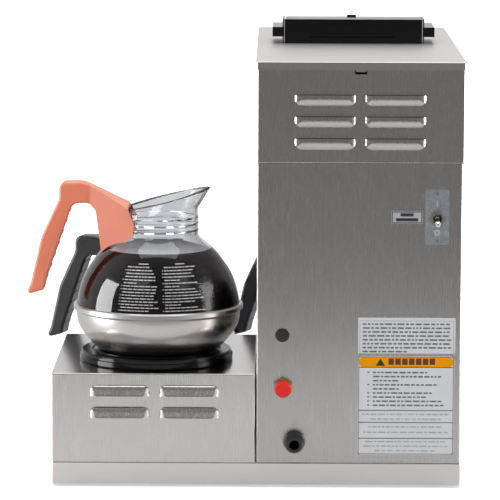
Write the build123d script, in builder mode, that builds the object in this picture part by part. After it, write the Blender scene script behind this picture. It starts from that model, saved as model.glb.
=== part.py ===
from build123d import *
import os

# Commercial coffee brewer with three warmers, all sizes in millimetres.
# Working frame: the rear faces of the case lie on y = 0 and the front is towards -y,
# x = 0 is the seam between the raised warmer box (+x) and the water tower (-x),
# and z = 0 is the counter. Everything is moved at the end so that the origin lies
# under the middle of the whole machine.

os.makedirs("parts", exist_ok=True)

# ---- sheet metal case -------------------------------------------------------
SHEET = 1.2                  # thickness of the stainless sheet
BEND = 2.0                   # outside radius of a folded vertical edge
FLANGE = 10.0                # width of a folded-in return flange
BASE_WIDTH = 409.0
BASE_DEPTH = 461.0
BASE_HEIGHT = 22.2
FOOT_SHOWS = 3.2             # gap between the counter and the base tray's lower edge
RECESS_DROP = 3.5            # how far the front deck is sunk below its rim
RECESS_RIM = 9.0             # width of the rim round the sunk deck
SIDE_BOX_HEIGHT = 89.5
SIDE_BOX_DEPTH = 239.0
SEAM_GAP = 1.0               # gap between the side box and the tower
TOWER_WIDTH = 203.6
TOWER_DEPTH = 240.0
TOWER_HEIGHT = 301.2
HOOD_WIDTH = 205.2
HOOD_HEIGHT = 99.1           # hood walls, up to the underside of the lid's top
LID_OVERLAP = 7.7            # height of the lid's turned-down lip
LID_CLEARANCE = 0.2
PLATE_INSET = 1.6            # base cover plate above the base tray's lower edge
SLOT_HALF_W = 6.0            # slot in the hood's rear wall for the lid's tongue
SLOT_BELOW = 3.0
TONGUE_HALF_W = 5.0
TONGUE_T = 1.2

BASE_Z = FOOT_SHOWS
DECK_Z = BASE_Z + BASE_HEIGHT
FRONT_DECK_Z = DECK_Z - RECESS_DROP
SIDE_TOP_Z = DECK_Z + SIDE_BOX_HEIGHT
HOOD_Z = DECK_Z + TOWER_HEIGHT
LID_UNDER_Z = HOOD_Z + HOOD_HEIGHT
LID_TOP_Z = LID_UNDER_Z + SHEET
HOOD_RIGHT_X = 0.2
HOOD_LEFT_X = HOOD_RIGHT_X - HOOD_WIDTH
SIDE_BOX_WIDTH = BASE_WIDTH / 2 - SEAM_GAP
PLATE_Z = BASE_Z + PLATE_INSET

# ---- screws -----------------------------------------------------------------
SCREW_R = 1.75
SCREW_HOLE_R = 1.85
SCREW_HEAD_R = 3.4
SCREW_HEAD_H = 2.2
SCREW_LENGTH = 6.0

# ---- louvres ----------------------------------------------------------------
LOUVRE_WIDTH = 60.4
LOUVRE_HEIGHT = 11.0
LOUVRE_WALL = 0.9
LOUVRE_CORNER = 8.5
LOUVRE_END = 9.0             # length over which a louvre's depth fades out at each end
LOUVRE_MOUTH = 0.4           # how far the opening reaches past the cut edge
# depth of a louvre at distances from its cut edge
UPPER_SECTION = ((2.7, 0.0), (3.5, 3.2), (2.5, 7.4), (0.0, 11.0))
LOWER_SECTION = ((4.6, 0.0), (4.1, 4.5), (3.3, 8.6), (0.0, 11.0))
UPPER_LOUVRE_X = (-67.0, -136.2)
UPPER_LOUVRE_Z = tuple(HOOD_Z + h for h in (67.5, 46.0, 24.3))        # cut edges, open upwards
LOWER_LOUVRE_X = (66.9, 136.3)
LOWER_LOUVRE_Z = tuple(SIDE_TOP_Z - h for h in (22.4, 44.4))          # cut edges, open downwards

# ---- warmers ----------------------------------------------------------------
WARMER_R = 78.0
WARMER_RIM_H = 10.8
WARMER_RING_W = 14.0         # width of the ring round the plate
WARMER_PLATE_R = WARMER_R - WARMER_RING_W
WARMER_PLATE_TOP = 11.0      # plate surface above the deck it stands on
WARMER_PLATE_T = 2.0
ELEMENT_H = 4.5
ELEMENT_INSET = 16.0         # heating element's rim inside the plate's rim
ELEMENT_HOLE_R = 22.0
WIRE_HOLE_R = 12.0
REAR_WARMER = (102.9, -92.0)
LEFT_WARMER = (104.0, -342.0)
BREW_WARMER = (-98.0, -352.0)

# ---- decanters --------------------------------------------------------------
PAN_BOTTOM_R = 57.0
PAN_R = 83.2
PAN_RIM_R = 86.4
PAN_LEDGE_H = 42.5
PAN_RIM_H = 47.5
PAN_WALL = 1.0
BOWL_WALL = 2.4
BOWL_GAP = 0.2               # between the bowl's foot and the pan's rim
NECK_R = 40.6
NECK_H = 117.5
COLLAR_H = (122.5, 129.0, 135.5)           # heights of the ridges round the neck
SPOUT_FRONT_H = 144.5
SPOUT_BACK_H = 138.0
LIP_FRONT = 53.0
LIP_FRONT_H = 165.4
LIP_BACK_H = 142.0
LIP_HALF_WIDTH = 35.0
RIDGE_PROUD = 0.7
HANDLE_HALF_T = 11.0
HANDLE_EDGE = 3.0
RIB_COUNT = 7
RIB_R = 1.2
# side curve of the bowl, radius and height, from the widest part to under the collars
BOWL_CURVE = ((82.4, 51.0), (79.6, 63.8), (73.4, 79.2), (60.0, 98.8), (46.6, 110.8))
# Corners of the handle's side outline with the radius that rounds each one:
# outer side of the grip, bridge, neck side, tip, finger opening and inner side of the grip.
HANDLE_CORNERS = (
    ((135.0, 55.0), 3.0), ((129.3, 67.8), 8.0), ((118.8, 114.0), 45.0), ((100.3, 153.5), 12.0),
    ((100.3, 170.9), 8.0), ((73.5, 171.2), 30.0), ((30.2, 146.2), 5.0), ((23.0, 131.0), 10.0),
    ((24.2, 118.2), 1.5), ((57.0, 96.8), 1.2), ((63.2, 149.4), 13.0), ((86.6, 149.4), 9.5),
    ((113.8, 71.5), 6.0), ((116.3, 60.4), 2.5),
)
# The neck side spreads from the bridge into two flat cheeks that hold the neck.
CHEEK_CORNERS = ((70.0, 168.4), (30.2, 146.4), (23.4, 131.0), (24.6, 118.4), (57.0, 97.4),
                 (63.0, 142.0), (70.0, 150.0))
CHEEK_PLAN = ((72.0, 9.5), (20.0, 36.0), (20.0, -36.0), (72.0, -9.5))
RIB_TOP = Vector(89.6, 0, 142.0)
RIB_END = Vector(113.6, 0, 73.3)
DECANTER_SHIFT = 2.0         # the rear decanter stands a little off the warmer's centre
REAR_HANDLE_TURN = 0.0       # degrees that each handle points away from straight left
LEFT_HANDLE_TURN = 17.5
BREW_HANDLE_TURN = 20.0

# ---- brew funnel and spray --------------------------------------------------
FUNNEL_R = 70.0
FUNNEL_FLANGE_R = 80.0
FUNNEL_FLANGE_T = 3.0
FUNNEL_WALL = 2.5
FUNNEL_DEEP = 52.0
FUNNEL_CONE = 24.0
FUNNEL_OUTLET_R = 7.0
RAIL_DROP = 16.0
RAIL_GAP = 0.4
SPRAY_R = 34.0
SPRAY_T = 6.0
HANDLE_REACH = 52.0          # funnel handle in front of the hood

# ---- water side -------------------------------------------------------------
TANK_X = -110.0
TANK_Y = -140.0
TANK_W = 120.0
TANK_D = 150.0
TANK_CORNER = 18.0
TANK_Z0 = 70.0
TANK_UNDER_HOOD = 30.6       # from the tank's rim down from the hood
TANK_Z1 = HOOD_Z - TANK_UNDER_HOOD
TANK_WALL = 1.5
TANK_RIM = 8.0
GASKET_T = 2.0
TUBE_R = 4.5
TUBE_WALL = 1.0
INLET = (-26.7, 101.6)
INLET_HEX_FLAT = 8.75        # half the distance across the hexagon's flats
INLET_HEX_T = 6.0
INLET_BORE_R = 4.0
INLET_STUB_R = 8.3
INLET_STUB_Y = -14.0         # front end of the stub inside the tower
INLET_THREAD_R = 6.2
INLET_THREAD_Y = 11.8        # rear end of the thread
CAP_R = 8.0
CAP_END_Y = 13.6
CAP_GAP = 0.3
VALVE_HALF = 13.0
VALVE_Y = -30.0
VALVE_LONG = 32.0
VALVE_PORT_R = 6.5
SOLENOID_R = 15.0
SOLENOID_H = 30.0
GLAND = (-38.0, 47.4)
GLAND_BORE_R = 5.0
PLUG = (-25.7, 154.5)

# ---- rear switch ------------------------------------------------------------
TOGGLE = (-178.3, HOOD_Z - 53.9)
TOGGLE_TILT = 17.0           # lever angle from straight out, down at rest
TOGGLE_BALL_R = 3.2
TOGGLE_FIT = 0.06

# ---- pour-in hatch ----------------------------------------------------------
HATCH_X0 = -174.1
HATCH_X1 = -24.8
HATCH_Y_REAR = -231.0
HATCH_Y_TOP = -278.0
HATCH_Y_FRONT = -301.0
HATCH_HEIGHT = 25.3
HATCH_WALL = 3.0
HATCH_GAP = 0.5
HATCH_LID_T = 4.0
HATCH_HINGE_GAP = 1.2        # behind the hatch lid's hinged edge
HATCH_FRONT_H = 13.0         # the front wall is low, and the top slopes down to it
TAB_X = (-103.0, -93.4)
TAB_PROUD = 1.6
RECESS_X = (-142.9, -54.2)   # recess in the rear face
RECESS_Z = (7.0, 11.5)
RECESS_DEPTH = 2.2
EAR_WIDTH = 10.5
EAR_Z0 = 6.9                 # above the lid
EAR_Z1 = 17.0

# ---- front controls ---------------------------------------------------------
SWITCH_PITCH = 27.0
ROCKER_W = 13.0
ROCKER_H = 20.0
ROCKER_FIT = 0.5
ROCKER_TILT = 9.0
PIVOT_R = 1.2
PIVOT_FIT = 0.06
BUTTON_R = 7.0
BUTTON_CLEARANCE = 0.3
BUTTON_PROUD = 4.0
LABEL_T = 0.3
CONTROL_Z = HOOD_Z + 52.0

pieces = {}


def keep(name, solid):
    """Remember a finished piece under its name."""
    pieces[name] = solid


def block(x0, x1, y0, y1, z0, z1, mode=Mode.ADD):
    """Box between two corners in the current part."""
    with Locations(((x0 + x1) / 2, (y0 + y1) / 2, (z0 + z1) / 2)):
        Box(abs(x1 - x0), abs(y1 - y0), abs(z1 - z0), mode=mode)


def rod_y(x, z, radius, y0, y1, mode=Mode.ADD):
    """Cylinder along y in the current part."""
    with Locations(Location((x, (y0 + y1) / 2, z), (90, 0, 0))):
        Cylinder(radius, abs(y1 - y0), mode=mode)


def rod_z(x, y, radius, z0, z1, mode=Mode.ADD):
    """Cylinder along z in the current part."""
    with Locations((x, y, (z0 + z1) / 2)):
        Cylinder(radius, abs(z1 - z0), mode=mode)


def rod_x(y, z, radius, x0, x1, mode=Mode.ADD):
    """Cylinder along x in the current part."""
    with Locations(Location(((x0 + x1) / 2, y, z), (0, 90, 0))):
        Cylinder(radius, abs(x1 - x0), mode=mode)


def turned(points):
    """Solid of revolution about z from a closed (radius, height) outline."""
    with BuildPart() as shape:
        with BuildSketch(Plane.XZ):
            with BuildLine():
                Polyline(*points, close=True)
            make_face()
        revolve(axis=Axis.Z)
    return shape.part


def pipe(points, radius, bend, wall=0.0):
    """Round tube along a bent path; a solid rod where wall is 0."""
    with BuildPart() as shape:
        with BuildLine() as path:
            FilletPolyline(*points, radius=bend)
        with BuildSketch(Plane(origin=path.line @ 0, z_dir=path.line % 0)):
            Circle(radius)
            if wall:
                Circle(radius - wall, mode=Mode.SUBTRACT)
        sweep()
    return shape.part


# ---- base -------------------------------------------------------------------
half_w = BASE_WIDTH / 2
plate_screws = [(sx * (half_w - 7.5), y) for sx in (-1, 1) for y in (-60.0, BASE_DEPTH * -1 + 60.0)]
foot_spots = [(sx * (half_w - 28.0), y) for sx in (-1, 1) for y in (-27.0, BASE_DEPTH * -1 + 27.0)]

with BuildPart() as base_tray:
    with BuildSketch(Plane.XY.offset(BASE_Z)):
        with Locations((0, -BASE_DEPTH / 2)):
            RectangleRounded(BASE_WIDTH, BASE_DEPTH, BEND)
    extrude(amount=BASE_HEIGHT)
    top_edges = base_tray.edges().group_by(Axis.Z)[-1]
    fillet(top_edges, SHEET * 0.95)
    # hollow from below
    block(-half_w + SHEET, half_w - SHEET, -BASE_DEPTH + SHEET, -SHEET,
          BASE_Z, DECK_Z - SHEET, Mode.SUBTRACT)
    # sunk front deck
    block(-half_w + RECESS_RIM, half_w - RECESS_RIM, -BASE_DEPTH + RECESS_RIM,
          -TOWER_DEPTH - RECESS_RIM, FRONT_DECK_Z - SHEET, DECK_Z - SHEET / 2)
    block(-half_w + RECESS_RIM + SHEET, half_w - RECESS_RIM - SHEET,
          -BASE_DEPTH + RECESS_RIM + SHEET, -TOWER_DEPTH - RECESS_RIM - SHEET,
          FRONT_DECK_Z, DECK_Z, Mode.SUBTRACT)
    # return flange that carries the cover plate
    flange_z = PLATE_Z + SHEET
    block(-half_w + SHEET / 2, half_w - SHEET / 2, -BASE_DEPTH + SHEET / 2, -SHEET / 2,
          flange_z, flange_z + SHEET)
    block(-half_w + SHEET + FLANGE, half_w - SHEET - FLANGE, -BASE_DEPTH + SHEET + FLANGE,
          -SHEET - FLANGE, flange_z, flange_z + SHEET, Mode.SUBTRACT)
    # wiring holes under the tower, the side box and the front warmers
    block(TANK_X - 75.0, TANK_X + 75.0, -220.0, -20.0, DECK_Z - 3 * SHEET, DECK_Z, Mode.SUBTRACT)
    block(40.0, 165.0, -220.0, -20.0, DECK_Z - 3 * SHEET, DECK_Z, Mode.SUBTRACT)
    for spot in (LEFT_WARMER, BREW_WARMER):
        rod_z(*spot, WIRE_HOLE_R, FRONT_DECK_Z - SHEET, FRONT_DECK_Z, Mode.SUBTRACT)
    for x, y in plate_screws:
        rod_z(x, y, SCREW_HOLE_R, flange_z, flange_z + SHEET, Mode.SUBTRACT)
keep("base_tray", base_tray.part)

with BuildPart() as base_plate:
    edge = SHEET + 0.3
    block(-half_w + edge, half_w - edge, -BASE_DEPTH + edge, -edge, PLATE_Z, PLATE_Z + SHEET)
    for x, y in plate_screws:
        rod_z(x, y, SCREW_HOLE_R, PLATE_Z, PLATE_Z + SHEET, Mode.SUBTRACT)
    for x, y in foot_spots:
        rod_z(x, y, 4.0, PLATE_Z, PLATE_Z + SHEET, Mode.SUBTRACT)
keep("base_plate", base_plate.part)

foot = turned([(0, 0), (8.5, 0), (9.5, 1.2), (9.0, PLATE_Z), (4.0, PLATE_Z),
               (4.0, PLATE_Z + SHEET), (5.2, PLATE_Z + SHEET), (3.0, PLATE_Z + SHEET + 4.0),
               (0, PLATE_Z + SHEET + 4.0)])
with BuildPart() as rubber_feet:
    with Locations(*foot_spots):
        add(foot)
keep("rubber_feet", rubber_feet.part)

# ---- louvre pressings -------------------------------------------------------
# A louvre is a scoop: its cut edge is straight, and it fades into the wall on the far side
# and at both ends. It is the part common to three prisms: the outline seen from behind,
# the section across it, and the plan along it.


def scoop(section, direction, shrink):
    """Solid scoop reaching LOUVRE_MOUTH past its cut edge, smaller by shrink all round."""
    half = LOUVRE_WIDTH / 2 - shrink
    far = LOUVRE_HEIGHT - shrink
    deepest = max(depth for depth, _ in section) - shrink
    curve = [(depth - shrink, direction * min(reach, far)) for depth, reach in section]
    with BuildPart() as shape:
        with BuildSketch(Plane.YZ.offset(-half)):
            with BuildLine():
                Spline(*curve)
                Polyline(curve[-1], (-2 * SHEET, direction * far),
                         (-2 * SHEET, -direction * LOUVRE_MOUTH),
                         (curve[0][0], -direction * LOUVRE_MOUTH), curve[0])
            make_face()
        extrude(amount=2 * half)
        with BuildSketch(Plane.XY.offset(-LOUVRE_HEIGHT)):
            with BuildLine():
                Spline((-half, 0), (-half + LOUVRE_END * 0.35, deepest * 0.75),
                       (-half + LOUVRE_END, deepest), tangents=((0.4, 1), (1, 0)))
                Line((-half + LOUVRE_END, deepest), (half - LOUVRE_END, deepest))
                Spline((half - LOUVRE_END, deepest), (half - LOUVRE_END * 0.35, deepest * 0.75),
                       (half, 0), tangents=((1, 0), (0.4, -1)))
                Polyline((half, 0), (half, -2 * SHEET), (-half, -2 * SHEET), (-half, 0))
            make_face()
        extrude(amount=2 * LOUVRE_HEIGHT, mode=Mode.INTERSECT)
        with BuildSketch(Plane.XZ.offset(-2 * LOUVRE_HEIGHT)):
            RectangleRounded(2 * half, 2 * far, LOUVRE_CORNER - shrink)
        extrude(amount=4 * LOUVRE_HEIGHT, mode=Mode.INTERSECT)
    return shape.part


def louvre(section, direction):
    """Outer bump and inner cavity of a louvre whose body lies on one side of its cut edge."""
    with BuildPart() as bump:
        add(scoop(section, direction, 0.0))
        block(-LOUVRE_WIDTH, LOUVRE_WIDTH, -10 * SHEET, 10 * SHEET,
              min(0, -direction * LOUVRE_HEIGHT), max(0, -direction * LOUVRE_HEIGHT), Mode.SUBTRACT)
        block(-LOUVRE_WIDTH, LOUVRE_WIDTH, -10 * SHEET, -SHEET / 2, -2 * LOUVRE_HEIGHT,
              2 * LOUVRE_HEIGHT, Mode.SUBTRACT)
    return bump.part, scoop(section, direction, LOUVRE_WALL)


open_up = louvre(UPPER_SECTION, -1)
open_down = louvre(LOWER_SECTION, 1)

# ---- raised warmer box ------------------------------------------------------
with BuildPart() as side_box:
    mid_x = SEAM_GAP + SIDE_BOX_WIDTH / 2
    with BuildSketch(Plane.XY.offset(DECK_Z)):
        with Locations((mid_x, -SIDE_BOX_DEPTH / 2)):
            RectangleRounded(SIDE_BOX_WIDTH, SIDE_BOX_DEPTH, BEND)
    extrude(amount=SIDE_BOX_HEIGHT)
    fillet(side_box.edges().group_by(Axis.Z)[-1], SHEET * 0.95)
    block(SEAM_GAP + SHEET, half_w - SHEET, -SIDE_BOX_DEPTH + SHEET, -SHEET,
          DECK_Z + SHEET, SIDE_TOP_Z - SHEET, Mode.SUBTRACT)
    block(SEAM_GAP + FLANGE, half_w - FLANGE, -SIDE_BOX_DEPTH + FLANGE, -FLANGE,
          DECK_Z, DECK_Z + SHEET, Mode.SUBTRACT)
    spots = [(x, 0, z) for x in LOWER_LOUVRE_X for z in LOWER_LOUVRE_Z]
    with Locations(*spots):
        add(open_down[0])
    with Locations(*spots):
        add(open_down[1], mode=Mode.SUBTRACT)
    rod_z(*REAR_WARMER, WIRE_HOLE_R, SIDE_TOP_Z - SHEET, SIDE_TOP_Z, Mode.SUBTRACT)
keep("side_box", side_box.part)

# ---- tower ------------------------------------------------------------------
front_screws = [(x, z) for x in (-TOWER_WIDTH + 8.0, -8.0) for z in (DECK_Z + 40.0, HOOD_Z - 40.0)]

with BuildPart() as tower_shell:
    with BuildSketch(Plane.XY.offset(DECK_Z)):
        with Locations((-TOWER_WIDTH / 2, -TOWER_DEPTH / 2)):
            RectangleRounded(TOWER_WIDTH, TOWER_DEPTH, BEND)
    extrude(amount=TOWER_HEIGHT)
    fillet(tower_shell.edges().group_by(Axis.Z)[-1], SHEET * 0.9)
    fillet(tower_shell.edges().group_by(Axis.Z)[0], SHEET * 0.4)
    block(-TOWER_WIDTH + SHEET, -SHEET, -TOWER_DEPTH + 2 * SHEET, -SHEET,
          DECK_Z + SHEET, HOOD_Z - SHEET, Mode.SUBTRACT)
    # open top and bottom inside the return flanges
    block(-TOWER_WIDTH + FLANGE, -FLANGE, -TOWER_DEPTH + FLANGE, -FLANGE,
          DECK_Z, HOOD_Z, Mode.SUBTRACT)
    # open front: flanges beside the front panel
    block(-TOWER_WIDTH + 2 * FLANGE, -2 * FLANGE, -TOWER_DEPTH, -TOWER_DEPTH + 3 * FLANGE,
          DECK_Z + FLANGE, HOOD_Z - FLANGE, Mode.SUBTRACT)
    # seat for the front panel
    block(-TOWER_WIDTH, 0, -TOWER_DEPTH, -TOWER_DEPTH + SHEET, DECK_Z, HOOD_Z, Mode.SUBTRACT)
    rod_y(*INLET, 8.4, -SHEET, 0, Mode.SUBTRACT)
    rod_y(*GLAND, 8.0, -SHEET, 0, Mode.SUBTRACT)
    rod_y(*PLUG, 5.6, -SHEET, 0, Mode.SUBTRACT)
    rod_y(*TOGGLE, 6.1, -SHEET, 0, Mode.SUBTRACT)
    for x, z in front_screws:
        rod_y(x, z, SCREW_HOLE_R, -TOWER_DEPTH, -TOWER_DEPTH + 2 * SHEET, Mode.SUBTRACT)
keep("tower_shell", tower_shell.part)

with BuildPart() as tower_front_panel:
    block(-TOWER_WIDTH, 0, -TOWER_DEPTH, -TOWER_DEPTH + SHEET, DECK_Z, HOOD_Z)
    fillet(tower_front_panel.edges().filter_by(Axis.Z).group_by(Axis.Y)[0], SHEET * 0.9)
    for x, z in front_screws:
        rod_y(x, z, SCREW_HOLE_R, -TOWER_DEPTH, -TOWER_DEPTH + SHEET, Mode.SUBTRACT)
keep("tower_front_panel", tower_front_panel.part)

# ---- hood -------------------------------------------------------------------
hood_mid_x = (HOOD_LEFT_X + HOOD_RIGHT_X) / 2
control_screws = [(x, z) for x in (HOOD_LEFT_X + 6.5, HOOD_RIGHT_X - 6.5)
                  for z in (HOOD_Z + 15.0, LID_UNDER_Z - 15.0)]
rocker_x = [hood_mid_x - 42.0 + (i - 1) * SWITCH_PITCH for i in range(3)]
start_x = rocker_x[-1] + SWITCH_PITCH
lamp_x = start_x + SWITCH_PITCH
bank_x0 = rocker_x[0] - ROCKER_W / 2 - 4.0
bank_x1 = start_x + ROCKER_W / 2 + 4.0
bank_half_h = ROCKER_H / 2 + 4.0
panel_y = -BASE_DEPTH
slot_z = LID_TOP_Z - LID_OVERLAP - 1.5
slot_x = -102.0

with BuildPart() as hood_shell:
    with BuildSketch(Plane.XY.offset(HOOD_Z)):
        with Locations((hood_mid_x, -BASE_DEPTH / 2)):
            RectangleRounded(HOOD_WIDTH, BASE_DEPTH, BEND)
    extrude(amount=HOOD_HEIGHT)
    fillet(hood_shell.edges().group_by(Axis.Z)[0], SHEET * 0.95)
    block(HOOD_LEFT_X + SHEET, HOOD_RIGHT_X - SHEET, -BASE_DEPTH + 2 * SHEET, -SHEET,
          HOOD_Z + SHEET, LID_UNDER_Z, Mode.SUBTRACT)
    block(HOOD_LEFT_X + FLANGE, HOOD_RIGHT_X - FLANGE, -BASE_DEPTH + FLANGE, -FLANGE,
          HOOD_Z, HOOD_Z + SHEET, Mode.SUBTRACT)
    # open front with a flange all round behind the control panel
    block(HOOD_LEFT_X + FLANGE + SHEET, HOOD_RIGHT_X - FLANGE - SHEET, -BASE_DEPTH,
          -BASE_DEPTH + 2 * SHEET, HOOD_Z + FLANGE, LID_UNDER_Z, Mode.SUBTRACT)
    block(HOOD_LEFT_X + SHEET, HOOD_RIGHT_X - SHEET, -BASE_DEPTH, -BASE_DEPTH + SHEET,
          HOOD_Z + SHEET, LID_UNDER_Z, Mode.SUBTRACT)
    spots = [(x, 0, z) for x in UPPER_LOUVRE_X for z in UPPER_LOUVRE_Z]
    with Locations(*spots):
        add(open_up[0])
    with Locations(*spots):
        add(open_up[1], mode=Mode.SUBTRACT)
    # slot for the lid's rear tongue
    block(slot_x - SLOT_HALF_W, slot_x + SLOT_HALF_W, -SHEET, 0, slot_z - SLOT_BELOW,
          slot_z + TONGUE_T, Mode.SUBTRACT)
    for x, z in control_screws:
        rod_y(x, z, SCREW_HOLE_R, panel_y, panel_y + 2 * SHEET, Mode.SUBTRACT)
keep("hood_shell", hood_shell.part)

rail_x = (BREW_WARMER[0] - FUNNEL_FLANGE_R - 2.0, BREW_WARMER[0] + FUNNEL_FLANGE_R + 2.0)
floor_z = HOOD_Z + SHEET
rail_top_z = floor_z
rail_z = rail_top_z - RAIL_DROP
rail_y = (-TOWER_DEPTH - 24.0, -BASE_DEPTH + 14.0)

with BuildPart() as hood_floor:
    block(HOOD_LEFT_X + SHEET, HOOD_RIGHT_X - SHEET, -BASE_DEPTH + 2 * SHEET, -TOWER_DEPTH + 2.0,
          floor_z, floor_z + SHEET)
    rod_z(*BREW_WARMER, 9.0, floor_z, floor_z + SHEET, Mode.SUBTRACT)
keep("hood_floor", hood_floor.part)

with BuildPart() as control_panel:
    block(HOOD_LEFT_X + SHEET, HOOD_RIGHT_X - SHEET, panel_y, panel_y + SHEET,
          HOOD_Z + SHEET, LID_UNDER_Z)
    block(bank_x0 + 2.0, bank_x1 - 2.0, panel_y, panel_y + SHEET,
          CONTROL_Z - bank_half_h + 2.0, CONTROL_Z + bank_half_h - 2.0, Mode.SUBTRACT)
    rod_y(lamp_x, CONTROL_Z, 4.1, panel_y, panel_y + SHEET, Mode.SUBTRACT)
    for x, z in control_screws:
        rod_y(x, z, SCREW_HOLE_R, panel_y, panel_y + SHEET, Mode.SUBTRACT)
keep("control_panel", control_panel.part)

lid_gap = LID_CLEARANCE + SHEET
basin_x = (HATCH_X0 + 12.0, HATCH_X1 - 12.0)
basin_y = (HATCH_Y_FRONT + 8.0, HATCH_Y_REAR - 8.0)

with BuildPart() as top_lid:
    with BuildSketch(Plane.XY.offset(LID_TOP_Z - LID_OVERLAP)):
        with Locations((hood_mid_x, -BASE_DEPTH / 2)):
            RectangleRounded(HOOD_WIDTH + 2 * lid_gap, BASE_DEPTH + 2 * lid_gap, BEND + lid_gap)
    extrude(amount=LID_OVERLAP)
    fillet(top_lid.edges().group_by(Axis.Z)[-1], SHEET)
    with BuildSketch(Plane.XY.offset(LID_TOP_Z - LID_OVERLAP)):
        with Locations((hood_mid_x, -BASE_DEPTH / 2)):
            RectangleRounded(HOOD_WIDTH + 2 * LID_CLEARANCE, BASE_DEPTH + 2 * LID_CLEARANCE,
                             BEND + LID_CLEARANCE)
    extrude(amount=LID_OVERLAP - SHEET, mode=Mode.SUBTRACT)
    block(*basin_x, *basin_y, LID_UNDER_Z, LID_TOP_Z, Mode.SUBTRACT)
    # tongue that hooks into the hood's rear wall
    block(slot_x - TONGUE_HALF_W, slot_x + TONGUE_HALF_W, LID_CLEARANCE, lid_gap,
          slot_z - TONGUE_T / 2, LID_TOP_Z - LID_OVERLAP)
    block(slot_x - TONGUE_HALF_W, slot_x + TONGUE_HALF_W, -SHEET, LID_CLEARANCE,
          slot_z - TONGUE_T / 2, slot_z + TONGUE_T / 2)
keep("top_lid", top_lid.part)

# ---- screws of the case -----------------------------------------------------
screw = turned([(0, -SCREW_LENGTH), (SCREW_R, -SCREW_LENGTH), (SCREW_R, 0), (SCREW_HEAD_R, 0),
                (SCREW_HEAD_R, SCREW_HEAD_H * 0.5), (SCREW_HEAD_R * 0.6, SCREW_HEAD_H),
                (0, SCREW_HEAD_H)])
with BuildPart() as case_screws:
    with Locations(*[Location((x, y, PLATE_Z), (180, 0, 0)) for x, y in plate_screws]):
        add(screw)
    with Locations(*[Location((x, -TOWER_DEPTH, z), (90, 0, 0)) for x, z in front_screws]):
        add(screw)
    with Locations(*[Location((x, panel_y, z), (90, 0, 0)) for x, z in control_screws]):
        add(screw)
keep("case_screws", case_screws.part)

# ---- warmers ----------------------------------------------------------------
lip_r = WARMER_PLATE_R + 2.0
with BuildPart() as warmer_ring:
    with BuildSketch(Plane.XZ):
        with BuildLine():
            Polyline((WARMER_R - 7.0, 0), (WARMER_R - 1.5, 0), (WARMER_R, 1.5), (WARMER_R, 6.0),
                     (WARMER_R - 1.6, 6.6), (WARMER_R - 1.6, WARMER_RIM_H - 1.0),
                     (WARMER_R - 2.6, WARMER_RIM_H), (lip_r, WARMER_RIM_H),
                     (lip_r, WARMER_PLATE_TOP - WARMER_PLATE_T),
                     (lip_r - 6.0, WARMER_PLATE_TOP - WARMER_PLATE_T),
                     (lip_r - 6.0, WARMER_PLATE_TOP - WARMER_PLATE_T - 1.5),
                     (WARMER_R - 7.0, WARMER_PLATE_TOP - WARMER_PLATE_T - 1.5), close=True)
        make_face()
    revolve(axis=Axis.Z)

with BuildPart() as warmer_plate:
    rod_z(0, 0, WARMER_PLATE_R, WARMER_PLATE_TOP - WARMER_PLATE_T, WARMER_PLATE_TOP)
    top_rim = warmer_plate.edges().filter_by(GeomType.CIRCLE).sort_by(Axis.Z)[-1]
    fillet(top_rim, WARMER_PLATE_T * 0.4)

element_top = WARMER_PLATE_TOP - WARMER_PLATE_T
with BuildPart() as warmer_element:
    rod_z(0, 0, WARMER_PLATE_R - ELEMENT_INSET, element_top - ELEMENT_H, element_top)
    rod_z(0, 0, ELEMENT_HOLE_R, element_top - ELEMENT_H, element_top, Mode.SUBTRACT)

warmer_spots = {
    "rear": (*REAR_WARMER, SIDE_TOP_Z),
    "left": (*LEFT_WARMER, FRONT_DECK_Z),
    "brew": (*BREW_WARMER, FRONT_DECK_Z),
}
for where, spot in warmer_spots.items():
    keep(f"{where}_warmer_ring", warmer_ring.part.moved(Location(spot)))
    keep(f"{where}_warmer_plate", warmer_plate.part.moved(Location(spot)))
with BuildPart() as warmer_elements:
    with Locations(*warmer_spots.values()):
        add(warmer_element.part)
keep("warmer_elements", warmer_elements.part)

# ---- decanters --------------------------------------------------------------
# Each stands on z = 0 in its own frame, with the handle towards +x and the spout towards -x.

with BuildPart() as decanter_pan:
    with BuildSketch(Plane.XZ):
        with BuildLine():
            Line((0, 0), (PAN_BOTTOM_R, 0))
            Spline((PAN_BOTTOM_R, 0), (71.0, 10.6), (80.3, 24.0), (PAN_R, PAN_LEDGE_H - 3.0),
                   tangents=((1, 0.25), (0, 1)))
            Line((PAN_R, PAN_LEDGE_H - 3.0), (PAN_RIM_R, PAN_LEDGE_H - 0.5))
            Line((PAN_RIM_R, PAN_LEDGE_H - 0.5), (PAN_RIM_R, PAN_RIM_H - 1.5))
            Line((PAN_RIM_R, PAN_RIM_H - 1.5), (PAN_RIM_R - 1.5, PAN_RIM_H))
            Line((PAN_RIM_R - 1.5, PAN_RIM_H), (PAN_R, PAN_RIM_H))
            Line((PAN_R, PAN_RIM_H), (PAN_R, PAN_LEDGE_H))
            Line((PAN_R, PAN_LEDGE_H), (PAN_R - PAN_WALL, PAN_LEDGE_H))
            Line((PAN_R - PAN_WALL, PAN_LEDGE_H), (PAN_R - PAN_WALL, PAN_LEDGE_H - 3.0))
            Spline((PAN_R - PAN_WALL, PAN_LEDGE_H - 3.0), (79.4, 24.3), (70.3, 11.5),
                   (PAN_BOTTOM_R - 0.2, PAN_WALL), tangents=((0, -1), (-1, -0.25)))
            Line((PAN_BOTTOM_R - 0.2, PAN_WALL), (0, PAN_WALL))
            Line((0, PAN_WALL), (0, 0))
        make_face()
    revolve(axis=Axis.Z)

# Outside of the bowl above the pan, from the pan's ledge to the foot of the neck.


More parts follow.
